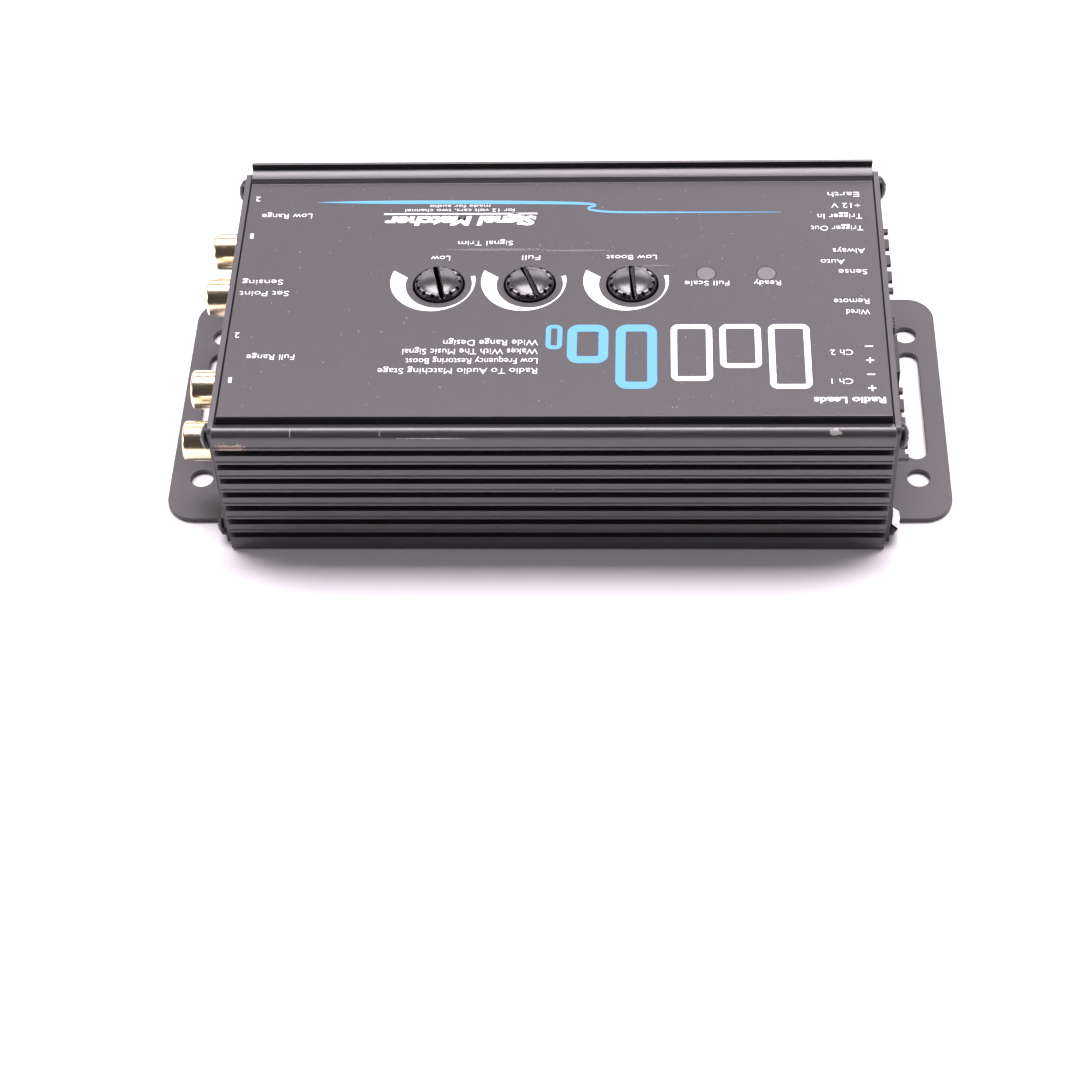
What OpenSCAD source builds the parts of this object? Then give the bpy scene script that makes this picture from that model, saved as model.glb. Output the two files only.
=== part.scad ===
// Two-channel line-level converter for a car audio system.
// A ribbed aluminium case with two bent end plates, a board inside, three level
// knobs on top, phono sockets at the +X end and plug-in terminals at the -X end.
// Millimetres. The origin is on the mounting face, under the middle of the case.

/* [Case] */
// Length of the ribbed case along X
case_l = 135; // [125:1:165]
// Width of the case over the fins, along Y
case_w = 82; // [79:1:100]
// Height of the rail crests above the mounting face
case_h = 35.2; // [33:0.1:44]
// Thickness of the top panel
top_t = 2; // [1.6:0.1:2.6]
// Thickness of the side wall behind the fins
wall_t = 1.6; // [1.2:0.1:2]
// Drop from the rail crest to the printed panel
panel_drop = 1.6; // [1.3:0.05:2]
// Gap under the case when the mounting feet stand on a flat surface
case_lift = 0.3; // [0.1:0.1:0.6]

/* [Fins and rails] */
// How far the fins stand out from the wall
fin_proud = 2.3; // [1.8:0.1:2.6]
// Number of grooves down each side
groove_n = 7; // [5:1:7]
// Width of each groove
groove_w = 1.5; // [1:0.1:2]
// Height of the lowest groove above the mounting face
groove_low_z = 4.68; // [4.6:0.02:5.2]
// Width of the fine line scored along each fin
score_w = 0.3; // [0.2:0.05:0.5]
// Depth of the fine line
score_d = 0.25; // [0.15:0.05:0.4]
// Width of the rail along each top edge
rail_w = 4.7; // [4.4:0.1:5.4]
// Width of the groove between rail and panel
rail_groove_w = 0.8; // [0.7:0.1:1.6]
// Depth of that groove below the panel
rail_groove_d = 1.3; // [0.8:0.1:1.5]
// Radius of the rounded lip along the rail's outer edge
lip_r = 1.9; // [1.4:0.1:2.2]
// Height of the lip above the top of the rail's sloped face
lip_h = 1.4; // [1:0.1:1.8]
// Rise of the rail's sloped face towards the lip
slope_rise = 0.45; // [0:0.05:0.6]
// Width of the sloped bead beside the panel
bead_w = 1; // [1:0.1:2]
// Rise of the bead above the panel
bead_h = 0.9; // [0.2:0.05:1]
// Depth of the relief at each end of the panel, along X
relief_l = 0.3; // [0.2:0.05:0.4]
// Depth of the relief below the panel
relief_d = 0.8; // [0.4:0.1:1]

/* [End plates and feet] */
// Sheet thickness of the end plates
plate_t = 1.2; // [1:0.1:1.6]
// Width of each mounting foot, along Y
foot_w = 65; // [58:1:66]
// How far each foot reaches past the plate
foot_l = 13.8; // [12:0.1:18]
// Offset of the feet along Y
foot_y = 1; // [-1:0.5:2]
// Corner radius of each foot
foot_r = 6; // [4:0.5:8]
// Inner radius of the bend
bend_r = 1.2; // [0.8:0.1:1.6]
// Distance from the end of the case to the middle of the fixing holes
hole_x = 8.35; // [8:0.05:9]
// Spacing of the two fixing holes in a foot
hole_gap = 42.3; // [40:0.1:44]
// Diameter of a fixing hole
hole_d = 4.76; // [4.2:0.02:5]
// Length of the adjusting slot, end to end
slot_l = 31.5; // [26:0.5:32]
// Width of the adjusting slot
slot_w = 4.6; // [4.2:0.1:5]

/* [End plate screws] */
// Diameter of the screw head
screw_head_d = 5.3; // [5:0.1:5.6]
// Height of the screw head
screw_head_h = 1.9; // [1.6:0.1:2.2]
// Diameter of the thread
screw_d = 2.4; // [2.2:0.1:2.6]
// Length under the head
screw_l = 10; // [8:1:14]
// Distance of the screws from the outside of the fins
screw_in = 4.6; // [4.4:0.1:4.8]
// Height of the lower screws above the mounting face
screw_low_z = 3.4; // [3.3:0.1:3.8]
// Drop of the upper screws below the printed panel
screw_drop = 3.7; // [3.55:0.05:4.15]

/* [Base plate] */
// Thickness of the sliding base plate
base_t = 1.5; // [1:0.1:1.6]
// Thickness of the lip it slides on
base_lip_t = 0.9; // [0.7:0.1:1.1]

/* [Circuit board] */
// Height of the board's top face
board_z = 10; // [9.6:0.1:10.6]
// Thickness of the board
board_t = 1.6; // [1.2:0.2:1.6]

/* [Level knobs] */
// Diameter of a knob
knob_d = 10.2; // [9.6:0.1:10.4]
// Clearance round a knob in its panel hole
knob_gap = 0.35; // [0.3:0.05:0.5]
// How far a knob's dome stands above the panel
knob_proud = 1.7; // [1.4:0.1:2.4]
// Place of the knobs along Y
knob_y = -3; // [-4:0.5:-2]
// Place of the bass knob along X
bass_knob_x = 24.65; // [23:0.05:26]
// Distance from the bass knob to the main knob
main_knob_gap = 19; // [18:0.1:20]
// Distance from the main knob to the boost knob
boost_knob_gap = 21.35; // [20:0.05:22]
// Width of a knob's screwdriver slot
knob_slot_w = 1.15; // [0.9:0.05:1.3]
// Number of grip notches round a knob
knob_notches = 14; // [10:1:18]
// Diameter of a knob's shaft
shaft_d = 6; // [5:0.5:6]

/* [Indicator windows] */
// Diameter of an indicator window
window_d = 3.9; // [3.4:0.1:4.6]
// Place of the windows along Y
window_y = -6.05; // [-8:0.05:-5]
// Place of the limit window along X
limit_window_x = -31.05; // [-32:0.05:-30]
// Distance between the two windows
window_gap = 12.55; // [12:0.05:14]

/* [Phono sockets] */
// Outside diameter of a phono shell
rca_d = 8.3; // [7.8:0.1:8.8]
// Wall of a phono shell
rca_wall = 0.8; // [0.7:0.1:1]
// How far a shell stands out of the end plate
rca_l = 8.2; // [7:0.1:10]
// Spacing of the two sockets in a pair
rca_pitch = 14.6; // [14:0.1:15]
// Height of the socket centres
rca_z = 16.7; // [16:0.1:18]
// Distance from the +Y side of the case to the middle of the main pair
main_rca_in = 22.7; // [22:0.1:24]
// Distance from the -Y side of the case to the middle of the bass pair
bass_rca_in = 16.9; // [16.8:0.1:18]

/* [Threshold trimmer] */
// Diameter of the trimmer's rotor
rotor_d = 3.2; // [2.8:0.1:3.4]
// Distance of the trimmer from the middle of the main pair
trimmer_gap = 21; // [20.5:0.1:21.5]

/* [Plug-in terminals] */
// Spacing of the ways in a terminal block
way_pitch = 5.08; // [5:0.04:5.08]
// Number of ways in each block
way_n = 4; // [2:1:4]
// Height of the top of the plugs
plug_top_z = 19; // [18.6:0.1:19.6]
// Height of a plug
plug_h = 7.6; // [7.4:0.1:8]
// How far the finger tabs stand out of the end plate
tab_proud = 3; // [2.4:0.1:4.4]
// Clearance between a plug and its socket
plug_gap = 0.3; // [0.25:0.05:0.4]
// Distance from the -Y side of the case to the middle of the power plug
power_plug_in = 15.5; // [15.2:0.1:16]
// Distance from the +Y side of the case to the middle of the speaker plug
speaker_plug_in = 18.2; // [18:0.1:19]

/* [Turn-on switch and remote jack] */
// Width of the switch lever along Y
lever_w = 3.5; // [3:0.1:3.8]
// Height of the switch lever
lever_h = 2.6; // [2.2:0.1:2.8]
// Travel of the switch lever
lever_travel = 2.5; // [2:0.1:2.6]
// How far the lever stands out of the end plate
lever_proud = 2.7; // [2:0.1:3]
// Distance from the power plug's middle to the switch's middle
switch_gap = 19; // [18.8:0.1:19.4]
// Width of the remote jack's body
jack_w = 11; // [10.6:0.1:11.2]
// Height of the remote jack's body
jack_h = 11.5; // [11:0.1:12]
// How far the jack stands out of the end plate
jack_proud = 2.5; // [1:0.1:2.8]
// Distance from the speaker plug's middle to the jack's middle
jack_gap = 17.3; // [17.1:0.1:17.6]

/* [Hidden] */
$fn = 64;
cut = 0.5;              // how far a cutting shape runs past the face it cuts
touch = 0.05;           // radial clearance of a running or push fit

half_l = case_l / 2;
half_w = case_w / 2;
panel_z = case_h - panel_drop;
wall_y = half_w - fin_proud;         // outside of the wall behind the fins
inner_y = wall_y - wall_t;
ceiling_z = panel_z - top_t;
plate_x = half_l + plate_t;          // outer face of each end plate
rail_y = half_w - rail_w;            // inner edge of the rail
bead_y = rail_y - rail_groove_w;     // outer edge of the bead

// Side grooves: the top one sits a fixed drop below the panel
groove_top_drop = 3.9;
groove_pitch = (panel_z - groove_top_drop - groove_low_z) / (groove_n - 1);
score_up = groove_w / 2 + 0.85;      // height of a scored line above its groove

// Screw ports in the case
port_y = half_w - screw_in;
port_top_z = panel_z - screw_drop;
port_r = screw_d / 2 + touch;
port_wall = 1.05;
port_boss_r = port_r + port_wall;
screw_clear_r = screw_d / 2 + 0.5;

// Base plate between its lips
base_z = case_lift + base_lip_t;
base_gap = 0.2;
base_slot_y = port_y - port_r - 1.5;
base_half_w = base_slot_y - base_gap;
foot_block_y = base_slot_y - 2.1;
foot_block_z = base_z + base_t + base_gap + 1.2;

// Board and the ledges that hold it
board_under_z = board_z - board_t;
ledge_w = 1.2;
ledge_t = 1.1;
ledge_clear = 0.15;
board_half_w = inner_y - 0.3;
board_half_l = half_l - 1;

// Connector places
main_rca_y = half_w - main_rca_in;
bass_rca_y = bass_rca_in - half_w;
trimmer_y = main_rca_y - trimmer_gap;
power_plug_y = power_plug_in - half_w;
speaker_plug_y = half_w - speaker_plug_in;
switch_y = power_plug_y + switch_gap;
jack_y = speaker_plug_y - jack_gap;
switch_z = board_z + 7.5;
main_knob_x = bass_knob_x - main_knob_gap;
boost_knob_x = main_knob_x - boost_knob_gap;
power_window_x = limit_window_x - window_gap;

// Phono socket insides
rca_back_x = half_l - 6;
rca_tip_x = plate_x + rca_l;
rca_bore_r = rca_d / 2 - rca_wall;
rca_core_r = 2;
rca_pin_r = 1.65;
rca_hole_r = rca_d / 2 + 0.35;
rca_root_r = rca_d / 2 - 0.45;       // the shell's turned-down part behind the plate
rca_box_l = 14;
rca_box_side = 5.3;

// Terminal blocks
block_half = way_n * way_pitch / 2;
plug_half = block_half - 0.2;
socket_half = plug_half + plug_gap;
socket_wall = 0.5;
plug_z = plug_top_z - plug_h;
plug_front_x = plate_x + 0.6;
header_front_x = half_l - 0.2;
header_back_x = half_l - 13;
plug_back_x = header_back_x + 1.6;
tab_t = 1;
tab_gap = 2;
pin_w = 1;
pin_z = plug_z + plug_h / 2;

// Knob and pot heights
knob_top_z = panel_z + knob_proud;
knob_skirt_z = ceiling_z - 2;
knob_stem_z = knob_skirt_z - 4;
shaft_top_z = panel_z - 2.4;
pot_w = 9.6;
pot_h = 7.2;
pot_bush_h = 4;
shaft_r = shaft_d / 2;

// Switch and jack
switch_half = 4.3;
switch_h = 5.2;
lever_gap = 0.3;
jack_open_w = 7.8;
jack_open_h = 6.6;
jack_key_w = 3.4;
jack_key_h = 2.4;
jack_open_z = board_z + 3.8;
jack_back_x = half_l - 11;
jack_l = plate_x + jack_proud - jack_back_x;

// Angle of each knob's slot from +Y at rest
bass_slot_a = 12;
main_slot_a = 22;
boost_slot_a = 4.3;

// A prism along X with its outline drawn in Y (across) and Z (up)
module along_x(x0, x1) {
    translate([x0, 0, 0])
        rotate([90, 0, 90])
            linear_extrude(x1 - x0)
                children();
}

// A round bar along X
module bar_x(x0, x1, y, z, r) {
    translate([x0, y, z])
        rotate([0, 90, 0])
            cylinder(r = r, h = x1 - x0);
}

// A plain block given by two opposite corners
module block(a, b) {
    translate(a)
        cube(b - a);
}

// Cuts the lower edges of a tall part back so that it clears the board's ledges
module ledge_cuts() {
    for (s = [0, 1])
        mirror([0, s, 0])
            block([0, inner_y - ledge_w - ledge_clear, board_z - cut],
                  [half_l + cut, half_w, board_z + ledge_t + ledge_clear]);
}

// Everything at the -X end is drawn at +X and turned over
module at_minus_x() {
    mirror([1, 0, 0])
        children();
}

// ---------------------------------------------------------------- case

module groove_cuts() {
    for (i = [0 : groove_n - 1]) {
        z = groove_low_z + i * groove_pitch;
        translate([wall_y, z - groove_w / 2])
            square([fin_proud + cut, groove_w]);
        translate([half_w - score_d, z + score_up - score_w / 2])
            square([score_d + cut, score_w]);
    }
}

module rail_profile() {
    slope_top_z = case_h - lip_h;
    slope_low_z = slope_top_z - slope_rise;
    lip_y = half_w - lip_r;
    edge = 0.3;
    polygon([
        [rail_y, ceiling_z], [lip_y, ceiling_z], [lip_y, slope_top_z],
        [rail_y + edge, slope_low_z], [rail_y, slope_low_z - edge]
    ]);
    translate([lip_y, ceiling_z - cut])
        square([lip_r, case_h - lip_r - ceiling_z + cut]);
    translate([lip_y, case_h - lip_r])
        intersection() {
            circle(r = lip_r);
            square([lip_r, lip_r]);
        }
}

module case_half_profile() {
    difference() {
        union() {
            translate([inner_y, case_lift])
                square([half_w - inner_y, ceiling_z - case_lift]);
            translate([0, ceiling_z])
                square([bead_y, top_t]);
            translate([bead_y, ceiling_z])
                square([rail_groove_w, top_t - rail_groove_d]);
            polygon([
                [bead_y - bead_w, panel_z - cut], [bead_y, panel_z - cut],
                [bead_y, panel_z + bead_h], [bead_y - bead_w, panel_z]
            ]);
            rail_profile();
            translate([port_y, port_top_z])
                circle(r = port_boss_r);
            translate([port_y, port_top_z])
                square([wall_y - port_y, ceiling_z - port_top_z]);
            translate([port_y, screw_low_z])
                circle(r = port_boss_r);
            translate([foot_block_y, case_lift])
                square([inner_y - foot_block_y, foot_block_z - case_lift]);
            translate([inner_y - ledge_w, board_under_z - ledge_t])
                square([ledge_w, ledge_t]);
            translate([inner_y - ledge_w, board_z + 0.1])
                square([ledge_w, ledge_t - 0.1]);
        }
        groove_cuts();
        translate([foot_block_y - cut, base_z])
            square([base_slot_y - foot_block_y + cut, base_t + base_gap]);
        translate([port_y, port_top_z])
            circle(r = port_r);
        translate([port_y, screw_low_z])
            circle(r = port_r);
    }
}

module case_shell() {
    hole_h = top_t + 2 * cut;
    color("#2b2b2e")
        difference() {
            along_x(-half_l, half_l) {
                case_half_profile();
                mirror([1, 0])
                    case_half_profile();
            }
            for (x = [bass_knob_x, main_knob_x, boost_knob_x])
                translate([x, knob_y, ceiling_z - cut])
                    cylinder(r = knob_d / 2 + knob_gap, h = hole_h);
            for (x = [limit_window_x, power_window_x])
                translate([x, window_y, ceiling_z - cut])
                    cylinder(r = window_d / 2 + touch, h = hole_h);
            for (s = [-1, 1])
                translate([s * half_l - relief_l, -bead_y, panel_z - relief_d])
                    cube([2 * relief_l, 2 * bead_y, relief_d + bead_h + cut]);
            regulator_tapped_hole();
        }
}

module base_plate() {
    color("#3a3a3d")
        block([-half_l + 0.2, -base_half_w, base_z],
              [half_l - 0.2, base_half_w, base_z + base_t]);
}

// ---------------------------------------------------------------- end plates

// Outline of a foot seen from above, with rounded outer corners
module foot_outline(x0, x1) {
    translate([x0, -foot_w / 2])
        square([x1 - x0 - foot_r, foot_w]);
    translate([x1 - foot_r - cut, -foot_w / 2 + foot_r])
        square([foot_r + cut, foot_w - 2 * foot_r]);
    for (s = [-1, 1])
        translate([x1 - foot_r, s * (foot_w / 2 - foot_r)])
            circle(r = foot_r);
}

// One bent sheet at the +X end, before its sockets are cut
module plate_blank() {
    bend_z = plate_t + bend_r;
    relief_w = 1;
    corner_r = 1.5;
    along_x(half_l, plate_x)
        difference() {
            union() {
                translate([-wall_y, bend_z])
                    square([2 * wall_y, panel_z - bend_z - corner_r]);
                translate([-wall_y + corner_r, panel_z - corner_r - cut])
                    square([2 * (wall_y - corner_r), corner_r + cut]);
                for (s = [-1, 1])
                    translate([s * (wall_y - corner_r), panel_z - corner_r])
                        circle(r = corner_r);
                translate([-wall_y, 0])
                    square([wall_y - foot_w / 2 + foot_y - relief_w, bend_z + cut]);
                translate([foot_y + foot_w / 2 + relief_w, 0])
                    square([wall_y - foot_y - foot_w / 2 - relief_w, bend_z + cut]);
            }
            for (y = [-port_y, port_y], z = [screw_low_z, port_top_z])
                translate([y, z])
                    circle(r = screw_clear_r);
        }
    // the bend
    translate([plate_x + bend_r, foot_y + foot_w / 2, bend_z])
        rotate([90, 0, 0])
            linear_extrude(foot_w)
                intersection() {
                    difference() {
                        circle(r = bend_r + plate_t);
                        circle(r = bend_r);
                    }
                    translate([-bend_z, -bend_z])
                        square([bend_z, bend_z]);
                }
    // the foot
    translate([0, foot_y, 0])
        linear_extrude(plate_t)
            difference() {
                foot_outline(plate_x + bend_r, plate_x + foot_l);
                for (s = [-1, 1])
                    translate([half_l + hole_x, s * hole_gap / 2])
                        circle(d = hole_d);
                translate([half_l + hole_x - slot_w / 2, -(slot_l - slot_w) / 2])
                    square([slot_w, slot_l - slot_w]);
                for (s = [-1, 1])
                    translate([half_l + hole_x, s * (slot_l - slot_w) / 2])
                        circle(d = slot_w);
            }
}

module output_end_plate() {
    color("#26262a")
        difference() {
            plate_blank();
            for (y = rca_centres())
                bar_x(half_l - cut, plate_x + cut, y, rca_z, rca_hole_r);
            bar_x(half_l - cut, plate_x + cut, trimmer_y, rca_z, rotor_d / 2 + 0.4);
        }
}

module input_end_plate() {
    color("#26262a")
        at_minus_x()
            difference() {
                plate_blank();
                for (y = [power_plug_y, speaker_plug_y])
                    block([half_l - cut, y - socket_half, plug_z - plug_gap],
                          [plate_x + cut, y + socket_half, plug_top_z + plug_gap]);
                block([half_l - cut, switch_y - lever_w / 2 - lever_gap,
                       switch_z - lever_h / 2 - lever_gap],
                      [plate_x + cut, switch_y + lever_w / 2 + lever_travel + lever_gap,
                       switch_z + lever_h / 2 + lever_gap]);
                block([half_l - cut, jack_y - jack_w / 2 - 0.3, board_z - 0.3],
                      [plate_x + cut, jack_y + jack_w / 2 + 0.3, board_z + jack_h + 0.3]);
            }
}

// A pan-head screw with a cross recess, pointing into the case from +X
module pan_screw(head_r, head_h, r, l) {
    dome_r = 1.35 * head_r;
    recess_w = 0.24 * head_r;
    recess_l = 1.25 * head_r;
    recess_d = 0.55 * head_h;
    difference() {
        rotate([0, 90, 0])
            rotate_extrude() {
                intersection() {
                    square([head_r, head_h]);
                    translate([0, head_h - dome_r])
                        circle(r = dome_r);
                }
                translate([0, -l])
                    square([r, l + head_h / 4]);
            }
        for (a = [0, 90])
            rotate([a, 0, 0])
                translate([head_h - recess_d, -recess_l / 2, -recess_w / 2])
                    cube([recess_d + cut, recess_l, recess_w]);
    }
}

module plate_screws() {
    turn = [12, 50, 71, 33];
    places = [[-port_y, screw_low_z], [port_y, screw_low_z],
              [-port_y, port_top_z], [port_y, port_top_z]];
    color("#1c1c1e")
        for (i = [0 : 3])
            translate([plate_x, places[i][0], places[i][1]])
                rotate([turn[i], 0, 0])
                    pan_screw(screw_head_d / 2, screw_head_h, screw_d / 2, screw_l);
}

module output_plate_screws() {
    plate_screws();
}

module input_plate_screws() {
    at_minus_x()
        plate_screws();
}

// ---------------------------------------------------------------- board

module circuit_board() {
    via_r = 0.5;
    color("#1f5a35")
        difference() {
            block([-board_half_l, -board_half_w, board_under_z],
                  [board_half_l, board_half_w, board_z]);
            for (x = [-60 : 24 : 60], y = [-30, 33])
                translate([x, y, board_under_z - cut])
                    cylinder(r = via_r, h = board_t + 2 * cut, $fn = 24);
        }
}

// ---------------------------------------------------------------- knobs and pots

module knob(x, slot_a) {
    r = knob_d / 2;
    edge_r = 1.3;
    rise = 0.55;
    flat_r = r - edge_r;
    // radius of the shallow dome that rises by `rise` over the flat radius
    dome_r = (flat_r * flat_r + rise * rise) / (2 * rise);
    edge_z = knob_top_z - rise;
    notch_r = 0.36;
    notch_in = 0.62;                 // how far the notches sit in from the edge
    color("#141416")
        translate([x, knob_y, 0])
            rotate([0, 0, slot_a])
                difference() {
                    union() {
                        translate([0, 0, knob_skirt_z])
                            cylinder(r = r, h = edge_z - edge_r - knob_skirt_z);
                        rotate_extrude() {
                            translate([0, edge_z - edge_r - cut])
                                square([flat_r, edge_r + cut]);
                            intersection() {
                                translate([flat_r, edge_z - edge_r])
                                    circle(r = edge_r);
                                translate([flat_r, edge_z - edge_r])
                                    square([edge_r, edge_r]);
                            }
                        }
                        intersection() {
                            translate([0, 0, knob_top_z - dome_r])
                                sphere(r = dome_r, $fn = 96);
                            translate([0, 0, edge_z - cut])
                                cylinder(r = flat_r, h = rise + 2 * cut);
                        }
                        translate([0, 0, knob_stem_z])
                            cylinder(r = r - 0.8, h = knob_skirt_z - knob_stem_z);
                    }
                    translate([-knob_slot_w / 2, -r - cut, knob_top_z - 1.1])
                        cube([knob_slot_w, 2 * (r + cut), 1.1 + cut]);
                    for (i = [0 : knob_notches - 1])
                        rotate([0, 0, (i + 0.5) * 360 / knob_notches])
                            translate([r - notch_in, 0, edge_z - 1.1])
                                cylinder(r = notch_r, h = 2, $fn = 20);
                    translate([0, 0, knob_stem_z - cut])
                        cylinder(r = shaft_r + 0.02, h = shaft_top_z + 0.1 - knob_stem_z + cut);
                }
}

module pot_shaft(x) {
    color("#c9c9c4")
        translate([x, knob_y, board_z + 2])
            cylinder(r = shaft_r, h = shaft_top_z - board_z - 2);
}

module pot(x) {
    leg_w = 0.8;
    color("#23331f")
        translate([x, knob_y, board_z])
            difference() {
                union() {
                    translate([-pot_w / 2, -pot_w / 2, 0])
                        cube([pot_w, pot_w, pot_h]);
                    translate([0, 0, pot_h])
                        cylinder(r = shaft_r + 0.8, h = pot_bush_h);
                    for (dx = [-2.5, 0, 2.5])
                        translate([dx - leg_w / 2, -pot_w / 2 - 1.6, 0])
                            cube([leg_w, 1.8, 1.2]);
                }
                translate([0, 0, 1.6])
                    cylinder(r = shaft_r + touch, h = pot_h + pot_bush_h);
            }
}

module bass_level_knob() {
    knob(bass_knob_x, bass_slot_a);
}

module main_level_knob() {
    knob(main_knob_x, main_slot_a);
}

module bass_boost_knob() {
    knob(boost_knob_x, boost_slot_a);
}

module bass_level_shaft() {
    pot_shaft(bass_knob_x);
}

module main_level_shaft() {
    pot_shaft(main_knob_x);
}

module bass_boost_shaft() {
    pot_shaft(boost_knob_x);
}

module bass_level_pot() {
    pot(bass_knob_x);
}

module main_level_pot() {
    pot(main_knob_x);
}

module bass_boost_pot() {
    pot(boost_knob_x);
}

// ---------------------------------------------------------------- threshold trimmer

module threshold_trimmer() {
    half = 3.4;
    color("#2c4f8a")
        difference() {
            block([half_l - 7.5, trimmer_y - half, board_z],
                  [half_l - 1, trimmer_y + half, rca_z + half]);
            bar_x(half_l - 4, half_l, trimmer_y, rca_z, rotor_d / 2 + touch);
        }
}

module threshold_rotor() {
    slot = 0.6;
    color("#e8e4d6")
        difference() {
            bar_x(half_l - 3.8, plate_x - 0.6, trimmer_y, rca_z, rotor_d / 2);
            translate([plate_x - 1.3, trimmer_y - rotor_d, rca_z - slot / 2])
                cube([2, 2 * rotor_d, slot]);
        }
}

// ---------------------------------------------------------------- phono sockets

function rca_pair(y) = [y - rca_pitch / 2, y + rca_pitch / 2];
function rca_centres() = concat(rca_pair(main_rca_y), rca_pair(bass_rca_y));

module rca_block(y0) {
    half = rca_pitch / 2 + rca_box_side;
    color("#1a1a1c")
        difference() {
            block([half_l - rca_box_l, y0 - half, board_z],
                  [half_l - 0.2, y0 + half, rca_z + rca_box_side]);
            for (y = rca_pair(y0))
                bar_x(rca_back_x, half_l + cut, y, rca_z, rca_root_r + 0.02);
            block([half_l - rca_box_l - cut, y0 - 0.6, board_z + 2],
                  [half_l + cut, y0 + 0.6, rca_z + rca_box_side + cut]);
            ledge_cuts();
        }
}

// Turned shell with a rounded nose
module rca_pair_of_shells(y0) {
    nose = 0.9 * rca_wall;
    root_l = plate_x - rca_back_x;
    shell_l = rca_tip_x - rca_back_x;
    color("#d9b45a")
        for (y = rca_pair(y0))
            translate([rca_back_x, y, rca_z])
                rotate([0, 90, 0])
                    rotate_extrude() {
                        translate([rca_bore_r, 0])
                            square([rca_root_r - rca_bore_r, root_l]);
                        translate([rca_bore_r, root_l])
                            square([rca_wall, rca_l - nose]);
                        translate([rca_bore_r, root_l])
                            square([rca_wall - nose, rca_l]);
                        intersection() {
                            translate([rca_d / 2 - nose, shell_l - nose])
                                circle(r = nose);
                            translate([rca_d / 2 - nose, shell_l - nose])
                                square([nose, nose]);
                        }
                    }
}

module main_rca_housing() {
    rca_block(main_rca_y);
}

module bass_rca_housing() {
    rca_block(bass_rca_y);
}

module main_rca_shells() {
    rca_pair_of_shells(main_rca_y);
}

module bass_rca_shells() {
    rca_pair_of_shells(bass_rca_y);
}

module rca_insulators() {
    color("#efeee8")
        for (y = rca_centres())
            difference() {
                bar_x(rca_back_x + 0.2, rca_tip_x - 1.1, y, rca_z, rca_bore_r - 0.02);
                bar_x(rca_back_x, rca_tip_x, y, rca_z, rca_core_r + 0.02);
            }
}

module rca_contacts() {
    color("#d9b45a")
        for (y = rca_centres())
            difference() {
                bar_x(rca_back_x + 0.4, rca_tip_x - 1.9, y, rca_z, rca_core_r);
                bar_x(rca_back_x + 2, rca_tip_x, y, rca_z, rca_pin_r);
            }
}

// ---------------------------------------------------------------- turn-on switch

module turn_on_switch_body() {
    front = half_l - 0.2;
    back = half_l - 5.6;
    mid = switch_y + lever_travel / 2;
    color("#a8abad")
        at_minus_x()
            difference() {
                union() {
                    block([back, mid - switch_half, switch_z - switch_h / 2],
                          [front, mid + switch_half, switch_z + switch_h / 2]);
                    for (dy = [-2.5, 0, 2.5])
                        block([back + 1, mid + dy - 0.4, board_z],
                              [back + 1.5, mid + dy + 0.4, switch_z - switch_h / 2 + cut]);
                }
                block([back + 2, switch_y - lever_w / 2 - lever_gap,
                       switch_z - lever_h / 2 - lever_gap],
                      [front + cut, switch_y + lever_w / 2 + lever_travel + lever_gap,
                       switch_z + lever_h / 2 + lever_gap]);
            }
}

module turn_on_switch_lever() {
    root_x = half_l - 3.3;
    rib_w = 0.4;
    rib_n = 3;
    tip_x = plate_x + lever_proud;
    color("#1d1d1f")
        at_minus_x()
            difference() {
                block([root_x, switch_y - lever_w / 2, switch_z - lever_h / 2],
                      [tip_x, switch_y + lever_w / 2, switch_z + lever_h / 2]);
                for (i = [0 : rib_n - 1])
                    block([tip_x - 0.35,
                           switch_y - lever_w / 2 + (i + 0.75) * lever_w / (rib_n + 0.5) - rib_w / 2,
                           switch_z - lever_h],
                          [tip_x + cut,
                           switch_y - lever_w / 2 + (i + 0.75) * lever_w / (rib_n + 0.5) + rib_w / 2,
                           switch_z + lever_h]);
            }
}

// ---------------------------------------------------------------- remote jack

module remote_jack_body() {
    front = plate_x + jack_proud;
    color("#202022")
        at_minus_x()
            difference() {
                block([jack_back_x, jack_y - jack_w / 2, board_z],
                      [front, jack_y + jack_w / 2, board_z + jack_h]);
                block([jack_back_x + 2, jack_y - jack_open_w / 2, jack_open_z],
                      [front + cut, jack_y + jack_open_w / 2, jack_open_z + jack_open_h]);
                block([jack_back_x + 4, jack_y - jack_key_w / 2, jack_open_z - jack_key_h],
                      [front + cut, jack_y + jack_key_w / 2, jack_open_z + cut]);
            }
}

// Four slanted spring wires hanging from the roof of the socket
module remote_jack_contacts() {
    wire_w = 0.5;
    gap = 1.02;
    roof = jack_open_z + jack_open_h;
    color("#d9b45a")
        at_minus_x()
            for (i = [-1.5 : 1 : 1.5])
                translate([jack_back_x + 2.2, jack_y + i * gap + wire_w / 2, roof])
                    rotate([90, 0, 0])
                        linear_extrude(wire_w)
                            polygon([[0, -1.9], [0, -2.3], [8.5, -0.4], [8.5, 0]]);
}

// ---------------------------------------------------------------- plug-in terminals

function way_y(y0, i) = y0 + (i - (way_n - 1) / 2) * way_pitch;

module header(y0) {
    color("#1e1e20")
        at_minus_x()
            difference() {
                block([header_back_x, y0 - socket_half - socket_wall, board_z],
                      [header_front_x, y0 + socket_half + socket_wall,
                       plug_top_z + plug_gap + socket_wall]);
                block([plug_back_x - plug_gap, y0 - socket_half, plug_z - plug_gap],
                      [header_front_x + cut, y0 + socket_half, plug_top_z + plug_gap]);
                for (i = [0 : way_n - 1])
                    block([header_back_x - cut, way_y(y0, i) - pin_w / 2, pin_z - pin_w / 2],
                          [plug_back_x, way_y(y0, i) + pin_w / 2, pin_z + pin_w / 2]);
                ledge_cuts();
            }
}

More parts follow.
